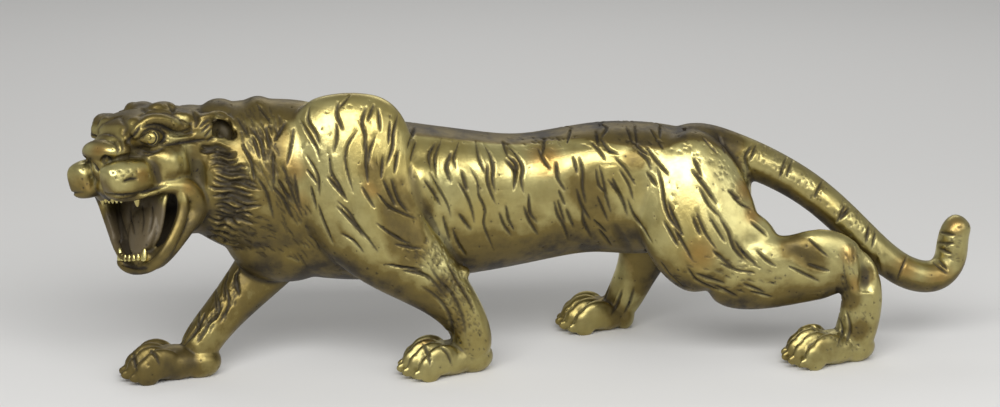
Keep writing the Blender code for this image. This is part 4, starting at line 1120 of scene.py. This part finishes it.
def rubbedBrass():
    metal = bpy.data.materials.new("rubbedBrass")
    metal.use_nodes = True
    tree = metal.node_tree
    shader = tree.nodes["Principled BSDF"]
    look = brassLook
    names = ("mouth", "brownAndShade", "grime", "stain", "patina", "hollow", "shelter", "warmth")
    layers = [attribute(tree, (-1600, 1000 - 150 * row), name) for row, name in enumerate(names)]
    mouth, brownAndShade, grime, stain, cut, hollow, shelter, warm = layers
    broad = noise(tree, (-1600, -250), 30, 4)
    cloud = noise(tree, (-1600, -850), 95, 4, 0.6)
    fine = noise(tree, (-1600, -450), 420, 5, 0.62)
    pitted = noise(tree, (-1600, -650), 900, 2, 0.5)
    inHollow = ramp(tree, (-1300, 250), hollow, 0.12, 0.8)
    inShelter = ramp(tree, (-1300, 100), shelter, 0.35, 0.95)
    blotch = ramp(tree, (-1300, -250), broad, 0.38, 0.68)
    wisps = ramp(tree, (-1300, -850), cloud, 0.35, 0.72)
    speck = ramp(tree, (-1300, -450), fine, 0.60, 0.72)
    # dark wax left in the cuts and hollows, and painted shade where the skin is sheltered
    # painted shade: sheltered skin darkens along with the wax
    deep = doMath(tree, (-1200, 150), "MULTIPLY", inShelter, 0.5)
    waxAndShade = doMath(tree, (-1100, 250), "MAXIMUM", inHollow, deep)
    waxAndShade = doMath(tree, (-1000, 250), "MULTIPLY", waxAndShade, doMath(tree, (-1200, 0), "ADD", speck, 0.75, True))
    waxAndShade = doMath(tree, (-900, 300), "MAXIMUM", waxAndShade, cut)
    waxAndShade = doMath(tree, (-800, 300), "ADD", waxAndShade, doMath(tree, (-900, 100), "MULTIPLY", speck, 0.16), True)
    # the brown cast skin, mottled where it begins to wear through, together with painted shade on sheltered
    # skin, undersides and shaded places
    mottle = doMath(tree, (-1100, 600), "MULTIPLY_ADD", wisps, 0.4, third=0.7)
    halo = doMath(tree, (-1100, 500), "MULTIPLY", stain, 0.6)
    dullAndShade = doMath(tree, (-1100, 700), "MAXIMUM", grime, doMath(tree, (-1200, 800), "MULTIPLY", brownAndShade, 0.9))
    dullAndShade = doMath(tree, (-1000, 600), "MULTIPLY", dullAndShade, mottle, True)
    # painted shade on sheltered skin
    dullAndShade = doMath(tree, (-900, 600), "MAXIMUM", dullAndShade, doMath(tree, (-1000, 450), "MULTIPLY", inShelter, 0.6))
    dullAndShade = doMath(tree, (-800, 600), "MAXIMUM", dullAndShade, halo)
    dullAndShade = doMath(tree, (-700, 600), "MAXIMUM", dullAndShade, doMath(tree, (-800, 700), "MULTIPLY", wisps, 0.24))
    clean = mixColour(tree, (-900, -100), blotch, look["bright"], look["deep"])
    warmed = mixColour(tree, (-700, -100), warm, clean, look["warm"])
    first = doMath(tree, (-700, 50), "MULTIPLY", dullAndShade, 2.0, True)
    second = doMath(tree, (-700, 100), "MULTIPLY_ADD", dullAndShade, 2.0, True, third=-1.0)
    # the worn and cast colours also paint the shade
    dulledAndShaded = mixColour(tree, (-650, -50), first, warmed, look["wornAndShaded"])
    dulledAndShaded = mixColour(tree, (-600, 0), second, dulledAndShaded, look["cast"])
    dulledAndShaded = mixColour(tree, (-550, 50), mouth, dulledAndShaded, look["mouth"])
    # the patina colour also paints the shade of sheltered skin
    colour = mixColour(tree, (-500, 100), waxAndShade, dulledAndShaded, look["patina"])
    tree.links.new(colour, shader.inputs["Base Color"])
    skin = doMath(tree, (-700, 500), "MAXIMUM", doMath(tree, (-800, 450), "MULTIPLY", second, 0.75), waxAndShade)
    skin = doMath(tree, (-600, 500), "MAXIMUM", skin, doMath(tree, (-700, 600), "MULTIPLY", mouth, 0.85))
    tree.links.new(doMath(tree, (-500, 400), "SUBTRACT", 1.0, skin, True), shader.inputs["Metallic"])
    shader.inputs["Specular IOR Level"].default_value = 0.35
    roughness = doMath(tree, (-700, -300), "MULTIPLY_ADD", fine, 0.16, third=look["rough"] - 0.08)
    wornAndShaded = doMath(tree, (-600, -450), "MULTIPLY", waxAndShade, look["patinaRough"] - look["rough"])
    wornAndShaded = doMath(tree, (-600, -550), "MAXIMUM", wornAndShaded, doMath(tree, (-700, -550), "MULTIPLY", dullAndShade, 0.16))
    tree.links.new(doMath(tree, (-500, -350), "ADD", roughness, wornAndShaded, True), shader.inputs["Roughness"])
    bump = addNode(tree, "ShaderNodeBump", (-300, -500))
    bump.inputs["Strength"].default_value = look["bump"]
    bump.inputs["Distance"].default_value = look["bumpHeight"]
    height = doMath(tree, (-500, -600), "ADD", fine, doMath(tree, (-600, -700), "MULTIPLY", pitted, 0.3))
    tree.links.new(height, bump.inputs["Height"])
    tree.links.new(bump.outputs["Normal"], shader.inputs["Normal"])
    return metal


def tint(piece, name, places, strength):
    # soft spots laid on the mesh from the side view, kept as an attribute
    mesh = piece.data
    skin = BVHTree.FromObject(piece, bpy.context.evaluated_depsgraph_get())
    flat = np.empty(len(mesh.vertices) * 3)
    mesh.vertices.foreach_get("co", flat)
    spots = flat.reshape(-1, 3)
    clear = np.ones(len(spots))
    move = Vector((shiftX, shiftY, 0)) * mm
    for flip in (1, -1):
        eye, centre, right, up = drawingPlane(flip)
        for point, size in places:
            a, b = fromView([point])[0]
            spot = centre + right * a + up * b
            hit = skin.ray_cast(eye * mm + move, (spot - eye).normalized())[0]
            if hit is None:
                continue
            distance = np.linalg.norm(spots - np.array(hit), axis=1) / (size * mm)
            clear *= 1 - strength * np.clip(1 - distance * distance, 0, 1)
    layer = mesh.attributes.new(name, "FLOAT", "POINT")
    layer.data.foreach_set("value", (1 - clear).astype(np.float32))


print("brass")
tint(tiger, "warmth", warmSpots, brassLook["warmth"])
tint(tiger, "brownAndShade", brownAndShadeSpots, brassLook["brownAndShade"])
metal = rubbedBrass()
for piece in dressed:
    piece.data.materials.clear()
    piece.data.materials.append(metal)
    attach(piece, "root")
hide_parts("tiger_casting")


studio = {
    "floor": (0.74, 0.735, 0.72, 1),
    "room": 0.38,
    "key": 6.2,
    "fill": 1.2,
    "rim": 1.2,
}


def paleMaterial():
    pale = bpy.data.materials.new("paleGround")
    pale.use_nodes = True
    tree = pale.node_tree
    shader = tree.nodes["Principled BSDF"]
    shader.inputs["Base Color"].default_value = studio["floor"]
    shader.inputs["Roughness"].default_value = 1.0
    shader.inputs["Specular IOR Level"].default_value = 0.0
    return pale


def addGround():
    letGo()
    bpy.ops.mesh.primitive_plane_add(size=6, location=(0, 0, 0))
    ground = bpy.context.active_object
    ground.name = "ground"
    bpy.ops.object.mode_set(mode="EDIT")
    bpy.ops.mesh.select_all(action="DESELECT")
    bpy.ops.object.mode_set(mode="OBJECT")
    for edge in ground.data.edges:
        edge.select = all(ground.data.vertices[v].co.y > 2.9 for v in edge.vertices)
    bpy.ops.object.mode_set(mode="EDIT")
    bpy.ops.mesh.select_mode(type="EDGE")
    bpy.ops.mesh.extrude_region_move(TRANSFORM_OT_translate={"value": (0, 0.5, 0.25)})
    bpy.ops.mesh.extrude_region_move(TRANSFORM_OT_translate={"value": (0, 0.3, 0.8)})
    bpy.ops.mesh.extrude_region_move(TRANSFORM_OT_translate={"value": (0, 0.0, 2.5)})
    bpy.ops.object.mode_set(mode="OBJECT")
    ground.data.shade_smooth()
    ground.data.materials.append(paleMaterial())


def addLamp(name, where, size, power, aim=(0, 0, 0.05)):
    lamp = bpy.data.lights.new(name, "AREA")
    lamp.shape = "RECTANGLE"
    lamp.size, lamp.size_y = size
    lamp.energy = power
    stand = bpy.data.objects.new(name, lamp)
    bpy.context.scene.collection.objects.link(stand)
    stand.location = where
    stand.rotation_mode = "QUATERNION"
    stand.rotation_quaternion = (Vector(where) - Vector(aim)).to_track_quat("Z", "Y")


def addCamera():
    camera = bpy.data.cameras.new("view")
    stand = bpy.data.objects.new("view", camera)
    bpy.context.scene.collection.objects.link(stand)
    eye, centre, right, up = drawingPlane(1)
    back = (eye - centre).normalized()
    stand.location = (eye + Vector((shiftX, shiftY, 0))) * mm
    stand.rotation_mode = "QUATERNION"
    stand.rotation_quaternion = back.to_track_quat("Z", "Y")
    across, down = sight["middle"]
    camera.sensor_width = 36
    camera.lens = camera.sensor_width * sight["distance"] / (pictureWide * sight["point"])
    camera.shift_x = (pictureWide / 2 - across) / pictureWide
    camera.shift_y = (down - pictureHigh / 2) / pictureWide
    camera.clip_start = 0.01
    bpy.context.scene.camera = stand


def lightRoom():
    scene = bpy.context.scene
    scene.view_settings.view_transform = "Standard"
    world = bpy.data.worlds.new("room")
    scene.world = world
    world.use_nodes = True
    back = world.node_tree.nodes["Background"]
    back.inputs[0].default_value = (1, 1, 1, 1)
    back.inputs[1].default_value = studio["room"]
    addLamp("key", (-0.12, -0.66, 0.6), (0.95, 0.36), studio["key"], aim=(-0.03, 0, 0.05))
    addLamp("fill", (0.7, -0.6, 0.45), (0.5, 0.5), studio["fill"])
    addLamp("rim", (0.1, 0.7, 0.6), (0.8, 0.3), studio["rim"])


print("studio")
addGround()
addCamera()
lightRoom()
